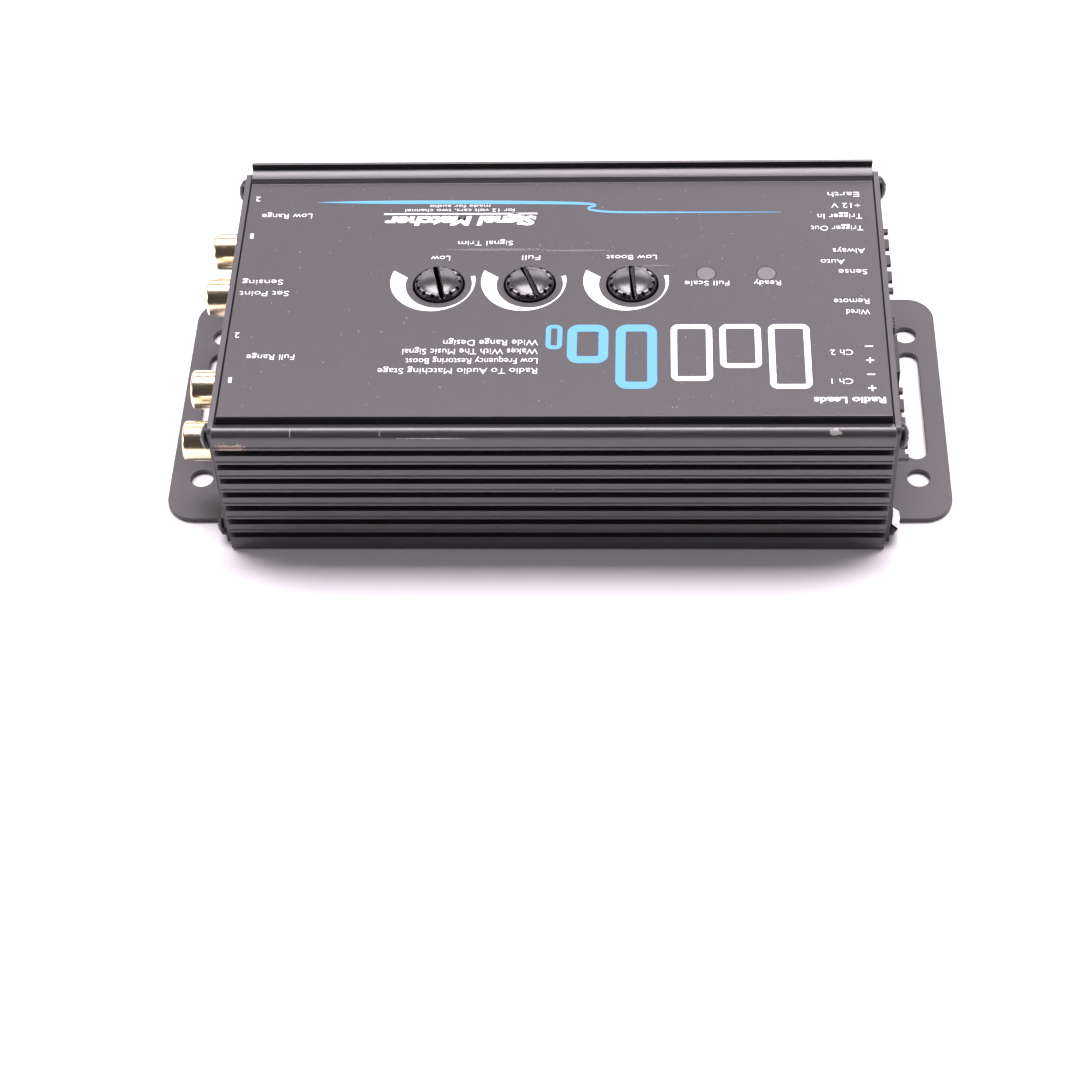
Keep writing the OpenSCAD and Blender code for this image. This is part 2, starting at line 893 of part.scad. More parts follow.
module header_pins(y0) {
    tail_x = header_back_x - 1.2;
    color("#cfd1d2")
        at_minus_x()
            for (i = [0 : way_n - 1]) {
                y = way_y(y0, i);
                block([tail_x, y - pin_w / 2, pin_z - pin_w / 2],
                      [plug_back_x + 6, y + pin_w / 2, pin_z + pin_w / 2]);
                block([tail_x, y - pin_w / 2, board_z],
                      [tail_x + pin_w, y + pin_w / 2, pin_z]);
            }
}

// Places shared by the plug, its screws and its clamps
clamp_w = 3.4;
clamp_l = 5;
clamp_h = 4.4;
clamp_x = plate_x - 6.4;
clamp_z = plug_z + 0.8;
well_x = clamp_x + clamp_l / 2;
well_r = 1.75;
entry_w = 3;

module plug(y0) {
    front = plug_front_x;
    color("#232325")
        at_minus_x()
            difference() {
                union() {
                    block([plug_back_x, y0 - plug_half, plug_z],
                          [front, y0 + plug_half, plug_top_z]);
                    block([front - cut, y0 - plug_half, plug_top_z - tab_t],
                          [plate_x + tab_proud, y0 + plug_half, plug_top_z]);
                }
                for (i = [0 : way_n - 1]) {
                    y = way_y(y0, i);
                    // gap between two finger tabs
                    block([front, y - tab_gap / 2, plug_top_z - tab_t - cut],
                          [plate_x + tab_proud + cut, y + tab_gap / 2, plug_top_z + cut]);
                    // pocket for the clamp, with the wire entry in front of it
                    block([clamp_x - 0.1, y - clamp_w / 2 - 0.1, clamp_z - 0.1],
                          [clamp_x + clamp_l + 0.1, y + clamp_w / 2 + 0.1,
                           clamp_z + clamp_h + 0.1]);
                    block([clamp_x + clamp_l, y - entry_w / 2, clamp_z + 0.6],
                          [front + cut, y + entry_w / 2, clamp_z + 0.6 + entry_w]);
                    // well for the clamp screw
                    translate([well_x, y, clamp_z + clamp_h])
                        cylinder(r = well_r, h = plug_h);
                    // socket for the header pin
                    block([plug_back_x - cut, y - pin_w / 2 - 0.3, pin_z - pin_w / 2 - 0.3],
                          [clamp_x, y + pin_w / 2 + 0.3, pin_z + pin_w / 2 + 0.3]);
                }
            }
}

// Captive slotted screws, one over each clamp
module clamp_screws(y0) {
    head_h = 1.2;
    head_z = clamp_z + clamp_h + 0.3;
    slot = 0.5;
    color("#b9bcbe")
        at_minus_x()
            for (i = [0 : way_n - 1])
                translate([well_x, way_y(y0, i), head_z])
                    difference() {
                        union() {
                            cylinder(r = well_r - 0.15, h = head_h, $fn = 32);
                            translate([0, 0, -1.8])
                                cylinder(r = 0.95, h = 2, $fn = 32);
                        }
                        rotate([0, 0, 20 + 37 * i])
                            translate([-well_r, -slot / 2, head_h - 0.6])
                                cube([2 * well_r, slot, 1]);
                    }
}

// Bent metal cages that grip the wires
module clamps(y0) {
    t = 0.6;
    color("#c6c9cb")
        at_minus_x()
            for (i = [0 : way_n - 1]) {
                y = way_y(y0, i);
                difference() {
                    block([clamp_x, y - clamp_w / 2, clamp_z],
                          [clamp_x + clamp_l, y + clamp_w / 2, clamp_z + clamp_h]);
                    block([clamp_x - cut, y - clamp_w / 2 + t, clamp_z + t],
                          [clamp_x + clamp_l + cut, y + clamp_w / 2 - t,
                           clamp_z + clamp_h - t]);
                    translate([well_x, y, clamp_z + clamp_h - 2 * t])
                        cylinder(r = 1, h = 4 * t, $fn = 32);
                }
            }
}

module power_header() {
    header(power_plug_y);
}

module power_header_pins() {
    header_pins(power_plug_y);
}

module power_plug() {
    plug(power_plug_y);
}

module power_plug_screws() {
    clamp_screws(power_plug_y);
}

module power_plug_clamps() {
    clamps(power_plug_y);
}

module speaker_header() {
    header(speaker_plug_y);
}

module speaker_header_pins() {
    header_pins(speaker_plug_y);
}

module speaker_plug() {
    plug(speaker_plug_y);
}

module speaker_plug_screws() {
    clamp_screws(speaker_plug_y);
}

module speaker_plug_clamps() {
    clamps(speaker_plug_y);
}

// ---------------------------------------------------------------- indicators

window_flange_t = 0.8;
led_r = 1.5;
led_top_z = ceiling_z - window_flange_t - 0.6;
led_h = 4.6;

module led(x, tint) {
    lead = 0.5;
    color(tint)
        translate([x, window_y, 0]) {
            translate([0, 0, led_top_z - led_h])
                cylinder(r = led_r + 0.3, h = 1);
            translate([0, 0, led_top_z - led_h])
                cylinder(r = led_r, h = led_h - led_r);
            translate([0, 0, led_top_z - led_r])
                sphere(r = led_r);
            for (s = [-1, 1])
                translate([s * 1.27 - lead / 2, -lead / 2, board_z])
                    cube([lead, lead, led_top_z - led_h - board_z]);
        }
}

module window(x) {
    color("#6c6d70")
        translate([x, window_y, 0]) {
            translate([0, 0, ceiling_z - window_flange_t])
                cylinder(r = window_d / 2 + 0.7, h = window_flange_t);
            translate([0, 0, ceiling_z])
                cylinder(r = window_d / 2, h = top_t);
        }
}

module power_led() {
    led(power_window_x, "#2f6fe0");
}

module limit_led() {
    led(limit_window_x, "#d43a2f");
}

module power_window() {
    window(power_window_x);
}

module limit_window() {
    window(limit_window_x);
}

// ---------------------------------------------------------------- parts on the board

// Places of the electrolytic cans, as [x, y, radius, height]
can_list = [
    [-23, -26, 5, 15], [-12, -26, 5, 15], [36, 24, 4, 12],
    [46, 24, 4, 12], [36, -24, 4, 12], [46, -24, 4, 12]
];

module filter_capacitors() {
    color("#22304e")
        for (c = can_list)
            translate([c[0], c[1], board_z])
                difference() {
                    cylinder(r = c[2], h = c[3]);
                    for (a = [0, 90])
                        rotate([0, 0, a])
                            translate([-0.7 * c[2], -0.1, c[3] - 0.25])
                                cube([1.4 * c[2], 0.2, 1]);
                }
}

module film_capacitors() {
    size = [7.2, 3.4, 6.5];
    color("#a03226")
        for (x = [-14 : 9 : 22], y = [18, 28])
            translate([x - size[0] / 2, y - size[1] / 2, board_z])
                cube(size);
}

op_amp_list = [[2, -22], [20, -22], [34, 12], [34, -12], [48, 10], [-28, 8]];
chip_l = 9.2;
chip_w = 6.3;

module op_amps() {
    color("#1b1b1d")
        for (p = op_amp_list)
            translate([p[0], p[1], board_z + 0.5])
                difference() {
                    translate([-chip_l / 2, -chip_w / 2, 0])
                        cube([chip_l, chip_w, 3.2]);
                    translate([-chip_l / 2, 0, 2.9])
                        cylinder(r = 0.9, h = 1, $fn = 24);
                }
}

module op_amp_legs() {
    leg_w = 0.5;
    leg_pitch = 2.54;
    color("#c9ccce")
        for (p = op_amp_list, i = [0 : 3], s = [-1, 1])
            translate([p[0] + (i - 1.5) * leg_pitch - leg_w / 2, p[1], board_z])
                for (part = [0, 1])
                    if (part == 0)
                        translate([0, s * (chip_w / 2 + 0.5) - 0.15, 0])
                            cube([leg_w, 0.3, 2]);
                    else
                        translate([0, min(s * chip_w / 2, s * (chip_w / 2 + 0.65)), 1.7])
                            cube([leg_w, 0.65, 0.3]);
}

reg_x = 11;
reg_tab_t = 1.3;
reg_hole_z = groove_low_z + 4.5 * groove_pitch;
reg_tab_y = -inner_y + reg_tab_t;
reg_body_h = 8.8;
reg_z = reg_hole_z - 3.4 - reg_body_h;

module regulator_tapped_hole() {
    translate([reg_x, -inner_y + cut, reg_hole_z])
        rotate([90, 0, 0])
            cylinder(r = 1.25 + touch, h = wall_t + fin_proud - 0.7 + cut);
}

module regulator_body() {
    leg = 0.8;
    color("#1a1a1b") {
        block([reg_x - 5, reg_tab_y, reg_z], [reg_x + 5, reg_tab_y + 3.2, reg_z + reg_body_h]);
        for (dx = [-2.54, 0, 2.54])
            block([reg_x + dx - leg / 2, reg_tab_y + 1.2, board_z],
                  [reg_x + dx + leg / 2, reg_tab_y + 1.8, reg_z]);
    }
}

module regulator_tab() {
    color("#b8bbbd")
        difference() {
            block([reg_x - 5, -inner_y, reg_z], [reg_x + 5, reg_tab_y, reg_hole_z + 3.4]);
            translate([reg_x, -inner_y - cut, reg_hole_z])
                rotate([-90, 0, 0])
                    cylinder(r = 1.7, h = reg_tab_t + 2 * cut);
        }
}

module regulator_screw() {
    color("#9a9c9e")
        translate([reg_x, reg_tab_y, reg_hole_z])
            rotate([0, 0, 90])
                pan_screw(2.6, 1.8, 1.25, reg_tab_t + 2.6);
}

ring_x = -37;
ring_y = -24;
ring_r = 6.4;
ring_h = 5.6;
ring_bore = 3.2;

// A wound toroid lying on the board: the core and the turns round it
module inductor_core() {
    color("#6a6c50")
        translate([ring_x, ring_y, board_z + 0.9])
            rotate_extrude()
                translate([ring_bore, 0])
                    square([ring_r - ring_bore, ring_h]);
}

module inductor_winding() {
    turns = 16;
    wire = 0.8;
    tight = 0.05;
    color("#b5652f")
        translate([ring_x, ring_y, board_z])
            for (i = [0 : turns - 1])
                rotate([0, 0, i * 340 / turns])
                    translate([0, wire / 2, 0])
                        rotate([90, 0, 0])
                            linear_extrude(wire)
                                difference() {
                                    translate([ring_bore - wire - tight, 0])
                                        square([ring_r - ring_bore + 2 * (wire + tight),
                                                ring_h + 1.8]);
                                    translate([ring_bore - tight, 0.9 - tight])
                                        square([ring_r - ring_bore + 2 * tight,
                                                ring_h + 2 * tight]);
                                }
}

trafo_x = -28;
trafo_y = 24;
trafo_l = 17;
trafo_w = 14;
trafo_h = 13;
trafo_leg = 3.6;

module transformer_core() {
    color("#3b3c40")
        translate([trafo_x, trafo_y, board_z + 1])
            difference() {
                translate([-trafo_l / 2, -trafo_w / 2 + 3, 0])
                    cube([trafo_l, trafo_w - 6, trafo_h]);
                for (s = [-1, 1])
                    translate([s * trafo_l / 4 - 2.3, -trafo_w, trafo_leg])
                        cube([4.6, 2 * trafo_w, trafo_h - 2 * trafo_leg]);
            }
}

module transformer_bobbin() {
    mid = trafo_l / 2 - 2 * 2.3 - 0.2;
    color("#d8b34a")
        translate([trafo_x, trafo_y, board_z + 1])
            for (s = [-1, 1]) {
                translate([s * trafo_l / 4 - 2.1, -trafo_w / 2, trafo_leg + 0.2])
                    cube([4.2, trafo_w, trafo_h - 2 * trafo_leg - 0.4]);
                translate([-mid, s * trafo_w / 2 - (s > 0 ? 2.8 : 0), trafo_leg + 0.2])
                    cube([2 * mid, 2.8, trafo_h - 2 * trafo_leg - 0.4]);
                for (x = [-5, 0, 5])
                    translate([x - 0.4, s * (trafo_w / 2 - 1.4) - 0.4, -1])
                        cube([0.8, 0.8, trafo_leg + 1.4]);
            }
}

// An axial part lying along X on its two bent leads
module axial_part(r, l, overhang, lead_r, lift) {
    translate([0, 0, r + lift]) {
        bar_x(-l / 2, l / 2, 0, 0, r);
        bar_x(-l / 2 - overhang, l / 2 + overhang, 0, 0, lead_r);
        for (s = [-1, 1])
            translate([s * (l / 2 + overhang), 0, -r - lift])
                cylinder(r = lead_r, h = r + lift, $fn = 24);
    }
}

module load_resistors() {
    color("#b9c7c4")
        for (i = [0 : 3])
            translate([-half_l + 22, speaker_plug_y + (i - 1.5) * 5.4, board_z])
                axial_part(2.2, 9, 1.5, 0.4, 0.4);
}

module rectifier_diodes() {
    color("#202022")
        for (i = [0 : 3])
            translate([-half_l + 18.5, power_plug_y + (i - 1.5) * 4.6, board_z])
                axial_part(1.35, 5.2, 1.2, 0.35, 0.3);
}

module switch_transistors() {
    r = 2.3;
    color("#19191a")
        for (y = [-4, 3, 10])
            translate([-50, y - 6, board_z]) {
                translate([0, 0, 3])
                    difference() {
                        cylinder(r = r, h = 4.6);
                        translate([0.9, -r - cut, -cut])
                            cube([r, 2 * (r + cut), 4.6 + 2 * cut]);
                    }
                for (dy = [-1.27, 0, 1.27])
                    translate([-0.25, dy - 0.25, 0])
                        cube([0.5, 0.5, 3.2]);
            }
}

// Rows of small chip parts, as [first x, last x, y]
chip_rows = [[-24, 24, -13.2], [-24, 48, 33.4], [-18, 24, 9], [22, 46, -32.5]];

module chip_components() {
    size = [2, 1.25, 0.6];
    color("#2a2a2c")
        for (row = chip_rows, x = [row[0] : 6 : row[1]])
            translate([x - size[0] / 2, row[2] - size[1] / 2, board_z])
                cube(size);
}

case_shell();
base_plate();
output_end_plate();
input_end_plate();
output_plate_screws();
input_plate_screws();
circuit_board();
bass_level_knob();
main_level_knob();
bass_boost_knob();
bass_level_shaft();
main_level_shaft();
bass_boost_shaft();
bass_level_pot();
main_level_pot();
bass_boost_pot();
threshold_trimmer();
threshold_rotor();
main_rca_housing();
bass_rca_housing();
main_rca_shells();
bass_rca_shells();
rca_insulators();
rca_contacts();
turn_on_switch_body();
turn_on_switch_lever();
remote_jack_body();
remote_jack_contacts();
power_header();
power_header_pins();
power_plug();
power_plug_screws();
power_plug_clamps();
speaker_header();
speaker_header_pins();
speaker_plug();
speaker_plug_screws();
speaker_plug_clamps();
power_led();
limit_led();
power_window();
limit_window();
filter_capacitors();
film_capacitors();
op_amps();
op_amp_legs();
regulator_body();
regulator_tab();
regulator_screw();
inductor_core();
inductor_winding();
transformer_core();
transformer_bobbin();
load_resistors();
rectifier_diodes();
switch_transistors();
chip_components();
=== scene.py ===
import math

import bmesh
import bpy
from mathutils import Matrix, Vector


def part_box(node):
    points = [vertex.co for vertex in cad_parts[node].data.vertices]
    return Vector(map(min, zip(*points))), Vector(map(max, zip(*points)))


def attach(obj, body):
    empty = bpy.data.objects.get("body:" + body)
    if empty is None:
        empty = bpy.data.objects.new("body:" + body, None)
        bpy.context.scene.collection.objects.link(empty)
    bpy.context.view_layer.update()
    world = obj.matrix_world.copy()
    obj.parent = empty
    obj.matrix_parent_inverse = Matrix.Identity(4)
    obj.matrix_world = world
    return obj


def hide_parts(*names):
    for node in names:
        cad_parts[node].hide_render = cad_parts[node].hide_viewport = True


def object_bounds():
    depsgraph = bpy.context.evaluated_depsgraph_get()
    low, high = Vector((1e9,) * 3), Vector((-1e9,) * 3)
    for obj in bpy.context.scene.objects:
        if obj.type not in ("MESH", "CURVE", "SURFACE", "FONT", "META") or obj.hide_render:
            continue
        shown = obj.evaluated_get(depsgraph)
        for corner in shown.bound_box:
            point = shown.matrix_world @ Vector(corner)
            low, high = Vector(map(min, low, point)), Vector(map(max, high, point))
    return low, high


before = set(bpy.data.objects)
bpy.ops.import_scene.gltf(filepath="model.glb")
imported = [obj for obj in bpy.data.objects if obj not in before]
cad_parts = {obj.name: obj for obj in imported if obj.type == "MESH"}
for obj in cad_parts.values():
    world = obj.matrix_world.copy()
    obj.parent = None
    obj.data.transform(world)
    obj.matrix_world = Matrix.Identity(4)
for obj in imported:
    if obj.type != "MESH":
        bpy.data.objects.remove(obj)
cad_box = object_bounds()
MM = 0.001

# ---------------------------------------------------------------- studio
# White sweep paper in a studio that is bright behind the case and dark on the +Y side, where
# the camera looks down. One soft box hangs almost overhead, a broad one stands behind, two
# weak ones fill the ends, and a small bare head stands low behind.

scene = bpy.context.scene
scene.view_settings.view_transform = "Standard"

camera_place = (-0.01875, 0.3671, 0.3884)
camera_heading = math.radians(183.86)
camera_tilt = math.radians(40.31)
camera_roll = math.radians(-2.91)
camera_data = bpy.data.cameras.new("studio_camera")
camera_data.lens = 81.7
camera_data.sensor_width = 36
camera_data.clip_start = 0.02
camera_data.clip_end = 20
camera = bpy.data.objects.new("studio_camera", camera_data)
scene.collection.objects.link(camera)
camera.matrix_world = (
    Matrix.Translation(camera_place)
    @ Matrix.Rotation(camera_heading, 4, "Z")
    @ Matrix.Rotation(camera_tilt, 4, "X")
    @ Matrix.Rotation(camera_roll, 4, "Z")
)
scene.camera = camera


def linear(hex_colour):
    """An sRGB hex colour as the linear RGBA that a shader takes"""
    channels = [int(hex_colour[i : i + 2], 16) / 255 for i in (1, 3, 5)]
    return [c / 12.92 if c <= 0.04045 else ((c + 0.055) / 1.055) ** 2.4 for c in channels] + [1.0]


def add(owner, kind, inputs=(), **settings):
    """Adds one node to a material or a node tree, with its settings, values and links"""
    tree = getattr(owner, "node_tree", owner)
    made = tree.nodes.new(kind)
    for name, value in settings.items():
        setattr(made, name, value)
    for name, value in dict(inputs).items():
        if isinstance(value, bpy.types.NodeSocket):
            tree.links.new(value, made.inputs[name])
        else:
            made.inputs[name].default_value = value
    return made


world = bpy.data.worlds.new("studio_air")
world.use_nodes = True
air = world.node_tree.nodes["Background"]
way = add(world, "ShaderNodeTexCoord").outputs["Generated"]
way_axes = add(world, "ShaderNodeSeparateXYZ", {"Vector": way})
strength_behind = 0.42
strength_before = 0.06
turn_start, turn_end = -0.35, 0.25
behind = add(
    world,
    "ShaderNodeMapRange",
    {
        0: way_axes.outputs["Y"],
        1: turn_start,
        2: turn_end,
        3: strength_behind,
        4: strength_before,
    },
)
air.inputs["Color"].default_value = linear("#fff8ff")
world.node_tree.links.new(behind.outputs[0], air.inputs["Strength"])
scene.world = world


def soft_box(name, place, aim, size, power):
    """A rectangular soft box aimed at a point: metres and watts"""
    light = bpy.data.lights.new(name, "AREA")
    light.shape = "RECTANGLE"
    light.size, light.size_y = size
    light.energy = power
    light.color = linear("#fff6fd")[:3]
    lamp = bpy.data.objects.new(name, light)
    scene.collection.objects.link(lamp)
    away = Vector(place) - Vector(aim)
    lamp.location = place
    lamp.rotation_mode = "QUATERNION"
    lamp.rotation_quaternion = away.to_track_quat("Z", "Y")


soft_box("rear_soft_box", (0, -1.3, 0.72), (0, 0, 0), (2.4, 0.5), 12)
soft_box("top_soft_box", (0, -0.38, 1.25), (0, 0, 0), (2.0, 0.55), 44)
for name, end in (("plus_x_soft_box", 1), ("minus_x_soft_box", -1)):
    soft_box(name, (end * 1.3, 0.35, 0.5), (0, 0.06, 0), (0.6, 0.5), 3.5)
soft_box("small_bare_head", (-0.35, -1.21, 0.33), (0, 0, 0), (0.28, 0.28), 4)


def drift(material, grain_mm, stretch=(1, 1, 1), detail=3.0):
    """Noise over the piece whose grain has a real size in millimetres"""
    place = add(material, "ShaderNodeTexCoord").outputs["Object"]
    scale = [s / (grain_mm * MM) for s in stretch]
    spread = add(material, "ShaderNodeMapping", {"Vector": place, "Scale": scale})
    noise = add(
        material,
        "ShaderNodeTexNoise",
        {"Vector": spread.outputs[0], "Scale": 1.0, "Detail": detail},
    )
    return noise.outputs["Fac"]


def blend_tones(material, amount, first, second):
    """Mixes two colours, or two colour sockets, by an amount"""
    mixed = add(
        material, "ShaderNodeMix", {0: amount, 6: first, 7: second}, data_type="RGBA"
    )
    return mixed.outputs[2]


def spread_over(material, value, low, high, to_low, to_high):
    """Maps one range of a value onto another and clamps it"""
    mapped = add(
        material,
        "ShaderNodeMapRange",
        {0: value, 1: low, 2: high, 3: to_low, 4: to_high},
    )
    return mapped.outputs[0]


def surface(name, tones, grain_mm, gloss, height_mm, stretch=(1, 1, 1), **sockets):
    """A worked surface: its tone, gloss and height all follow one grain of real size.
    Returns the material and its shader."""
    usual_low, usual_high = 0.3, 0.7
    material = bpy.data.materials.new(name)
    material.use_nodes = True
    material.node_tree.nodes.clear()
    grain = drift(material, grain_mm, stretch)
    bump = add(
        material,
        "ShaderNodeBump",
        {"Height": grain, "Distance": height_mm * MM, "Strength": 1.0},
    )
    values = {
        "Base Color": blend_tones(material, grain, linear(tones[0]), linear(tones[1])),
        "Roughness": spread_over(material, grain, usual_low, usual_high, *gloss),
        "Normal": bump.outputs[0],
    }
    values.update({key.replace("_", " "): value for key, value in sockets.items()})
    shader = add(material, "ShaderNodeBsdfPrincipled", values)
    add(material, "ShaderNodeOutputMaterial", {"Surface": shader.outputs[0]})
    return material, shader


paper_half = 4
paper_gap = 0.05 * MM
floor_mesh = bpy.data.meshes.new("sweep_paper")
paper_corners = [(paper_half * x, paper_half * y, 0) for x, y in ((-1, -1), (1, -1), (1, 1), (-1, 1))]
floor_mesh.from_pydata(paper_corners, [], [(0, 1, 2, 3)])
floor_mesh.transform(Matrix.Translation((0, 0, cad_box[0].z - paper_gap)))
floor = bpy.data.objects.new("sweep_paper", floor_mesh)
scene.collection.objects.link(floor)
# calendered paper: an even matt white with only a faint cloudiness
paper_white, _ = surface("white_sweep_paper", ("#f1f0f2", "#f6f5f7"), 30, (0.8, 0.9), 0.0)
floor_mesh.materials.append(paper_white)

# ---------------------------------------------------------------- case
# The case is one black anodised aluminium extrusion, sawn to length. Its die leaves fine
# lines along X, and the sawn and bent edges are broken by a light deburring.

edge_break = 0.14
sharp_above = math.radians(38)
flat_within = math.radians(0.6)
weld_reach = 0.0005 * MM


def whole_faces(node):
    """A bmesh copy of a CAD node with its triangles merged back into flat faces"""
    work = bmesh.new()
    work.from_mesh(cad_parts[node].data)
    for layer in list(work.loops.layers.float_vector.values()):
        work.loops.layers.float_vector.remove(layer)
    bmesh.ops.remove_doubles(work, verts=work.verts, dist=weld_reach)
    bmesh.ops.dissolve_limit(work, angle_limit=flat_within, verts=work.verts, edges=work.edges)
    return work


def shown_for(node, body, materials, edge_mm=edge_break, segments=2):
    """A finished copy of a CAD node, with broken edges, that is shown in its place"""
    work = whole_faces(node)
    mesh = bpy.data.meshes.new(node + "_finished")
    work.to_mesh(mesh)
    work.free()
    if "custom_normal" in mesh.attributes:
        mesh.attributes.remove(mesh.attributes["custom_normal"])
    for polygon in mesh.polygons:
        polygon.use_smooth = True
    mesh.set_sharp_from_angle(angle=sharp_above)
    piece = bpy.data.objects.new(node + "_finished", mesh)
    scene.collection.objects.link(piece)
    mesh.materials.clear()
    for material in materials:
        mesh.materials.append(material)
    if edge_mm:
        bevel = piece.modifiers.new("broken_edges", "BEVEL")
        bevel.limit_method = "ANGLE"
        bevel.angle_limit = sharp_above
        bevel.width = edge_mm * MM
        bevel.segments = segments
        bevel.use_clamp_overlap = False
        bevel.harden_normals = True
        graph = bpy.context.evaluated_depsgraph_get()
        made = bpy.data.meshes.new_from_object(piece.evaluated_get(graph))
        piece.modifiers.clear()
        piece.data = made
    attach(piece, body)
    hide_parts(node)
    return piece


def dust_specks(material, shader, spacing_mm, size_mm, share, colour):
    """Scatters small specks of another colour over a finished material"""
    smallest = 0.3
    widest = size_mm / spacing_mm
    place = add(material, "ShaderNodeTexCoord").outputs["Object"]
    cells = add(
        material, "ShaderNodeTexVoronoi", {"Vector": place, "Scale": 1 / (spacing_mm * MM)}
    )
    draw = add(material, "ShaderNodeSeparateColor", {0: cells.outputs["Color"]})
    size = spread_over(material, draw.outputs[1], 0, 1, smallest * widest, widest)
    near = add(
        material, "ShaderNodeMath", {0: cells.outputs["Distance"], 1: size}, operation="LESS_THAN"
    )
    kept = add(
        material, "ShaderNodeMath", {0: draw.outputs[0], 1: share}, operation="LESS_THAN"
    )
    both = add(
        material, "ShaderNodeMath", {0: near.outputs[0], 1: kept.outputs[0]}, operation="MULTIPLY"
    )
    tone = shader.inputs["Base Color"].links[0].from_socket
    mixed = blend_tones(material, both.outputs[0], tone, linear(colour))
    material.node_tree.links.new(mixed, shader.inputs["Base Color"])


def worn_spot(material, shader, middle_mm, reach_mm, grain_mm, wear, colour):
    """Ragged marks of wear round one place on a piece, denser towards their middle"""
    edge_fade = 0.08
    place = add(material, "ShaderNodeTexCoord").outputs["Object"]
    middle = [c * MM for c in middle_mm]
    offset = add(material, "ShaderNodeVectorMath", {0: place, 1: middle}, operation="SUBTRACT")
    spread = [1 / (r * MM) for r in reach_mm]
    scaled = add(
        material, "ShaderNodeVectorMath", {0: offset.outputs[0], 1: spread}, operation="MULTIPLY"
    )
    away = add(material, "ShaderNodeVectorMath", {0: scaled.outputs[0]}, operation="LENGTH")
    ragged = drift(material, grain_mm, detail=4.0)
    edge = add(
        material,
        "ShaderNodeMath",
        {0: ragged, 1: -wear, 2: away.outputs["Value"]},
        operation="MULTIPLY_ADD",
    )
    mask = spread_over(material, edge.outputs[0], 0.0, -edge_fade, 0.0, 1.0)
    tone = shader.inputs["Base Color"].links[0].from_socket
    mixed = blend_tones(material, mask, tone, linear(colour))
    material.node_tree.links.new(mixed, shader.inputs["Base Color"])


# anodised extrusion: satin black, with die lines along X that draw the lights out into streaks.
# The real lines are under 0.1 mm apart and are drawn at 0.16 mm, so that they show.
anodised, anodised_shader = surface(
    "black_anodised_extrusion",
    ("#28272a", "#323134"),
    0.16,
    (0.32, 0.42),
    0.006,
    stretch=(0.02, 1, 1),
    Specular_IOR_Level=0.9,
)
dust_specks(anodised, anodised_shader, 3.4, 0.13, 0.3, "#8f8c8a")

# on the +Y rail: a chip at the +X end with a dark edge, two short scratches, a long one, a scuff
for middle_mm, reach_mm, grain_mm, wear, colour in (
    ((63.9, 40.9, 31.2), (3.4, 3, 1.5), 0.45, 1.75, "#94796b"),
    ((63.9, 41, 32.4), (3.4, 2, 0.6), 0.8, 1.2, "#0d0b0c"),
    ((51.7, 40.2, 34.9), (0.2, 1.2, 1.3), 0.5, 1.4, "#8a8684"),
    ((33.9, 40.4, 34.9), (0.26, 1.0, 1.0), 0.5, 1.3, "#7a7674"),
    ((23.5, 41, 33.9), (9, 0.5, 0.12), 0.8, 1.5, "#b5b2ad"),
    ((-55.6, 40.4, 34.9), (1.6, 1.2, 0.8), 0.6, 1.6, "#8c8885"),
):
    worn_spot(anodised, anodised_shader, middle_mm, reach_mm, grain_mm, wear, colour)

# sprayed satin lacquer: its fine texture breaks the lights into a soft even grey. The real
# texture is about 0.1 mm and is drawn at 0.34 mm, so that it shows.
lacquer, lacquer_shader = surface(
    "satin_black_panel_lacquer",
    ("#232124", "#383539"),
    0.34,
    (0.33, 0.46),
    0.03,
    Specular_IOR_Level=0.6,
)
dust_specks(lacquer, lacquer_shader, 1.7, 0.1, 0.3, "#8f8c8b")

# faint scratches over the controls
scratch_grain = 0.5
for middle_mm, reach_mm, wear in (
    ((13, -13.6, 33.6), (14, 0.5, 1), 1.4),
    ((-4, -13.2, 33.6), (12, 0.4, 1), 1.25),
    ((-21, -8.5, 33.6), (6, 0.3, 1), 1.2),
):
    worn_spot(lacquer, lacquer_shader, middle_mm, reach_mm, scratch_grain, wear, "#575456")

case = shown_for("case_shell", "case", [anodised, lacquer])
panel_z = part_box("power_window")[1].z
panel_y = 34.3 * MM
level_within = 0.05 * MM
facing_up = 0.9
for polygon in case.data.polygons:
    middle = polygon.center
    on_panel = abs(middle.z - panel_z) < level_within and abs(middle.y) < panel_y
    if on_panel and polygon.normal.z > facing_up:
        polygon.material_index = 1

# anodised sheet: flatter and more matt than the extrusion, with its rolling lines along X.
# The real lines are under 0.1 mm apart and are drawn at 0.2 mm.
base_sheet, _ = surface(
    "black_anodised_sheet", ("#262527", "#302f31"), 0.2, (0.4, 0.5), 0.006, stretch=(0.03, 1, 1)
)
shown_for("base_plate", "case", [base_sheet])

# ---------------------------------------------------------------- end plates
# Each end plate is steel sheet, punched, bent out at the bottom into a foot and powder
# coated in fine satin black. Four pan screws hold it to ports in the extrusion.

# powder coat: a low satin with a fine even texture, a little greyer than the anodising
coat, coat_shader = surface(
    "black_powder_coat", ("#323033", "#3d3a3e"), 0.28, (0.36, 0.46), 0.01, Specular_IOR_Level=0.6
)
dust_specks(coat, coat_shader, 6.0, 0.16, 0.25, "#c4c2be")
for plate in ("output_end_plate", "input_end_plate"):
    shown_for(plate, "case", [coat])

# black oxide on steel: a thin dark film that keeps some of the metal's shine
oxide, _ = surface(
    "black_oxide_steel", ("#161617", "#2b2b2d"), 0.4, (0.25, 0.38), 0.004, Metallic=0.7
)
for screws in ("output_plate_screws", "input_plate_screws"):
    shown_for(screws, "case", [oxide], edge_mm=0.07)

# ---------------------------------------------------------------- level knobs
# Three gloss black moulded nylon knobs press onto turned alloy shafts. Each has a low dome,
# a full-width screwdriver slot and small grip notches round its rim.

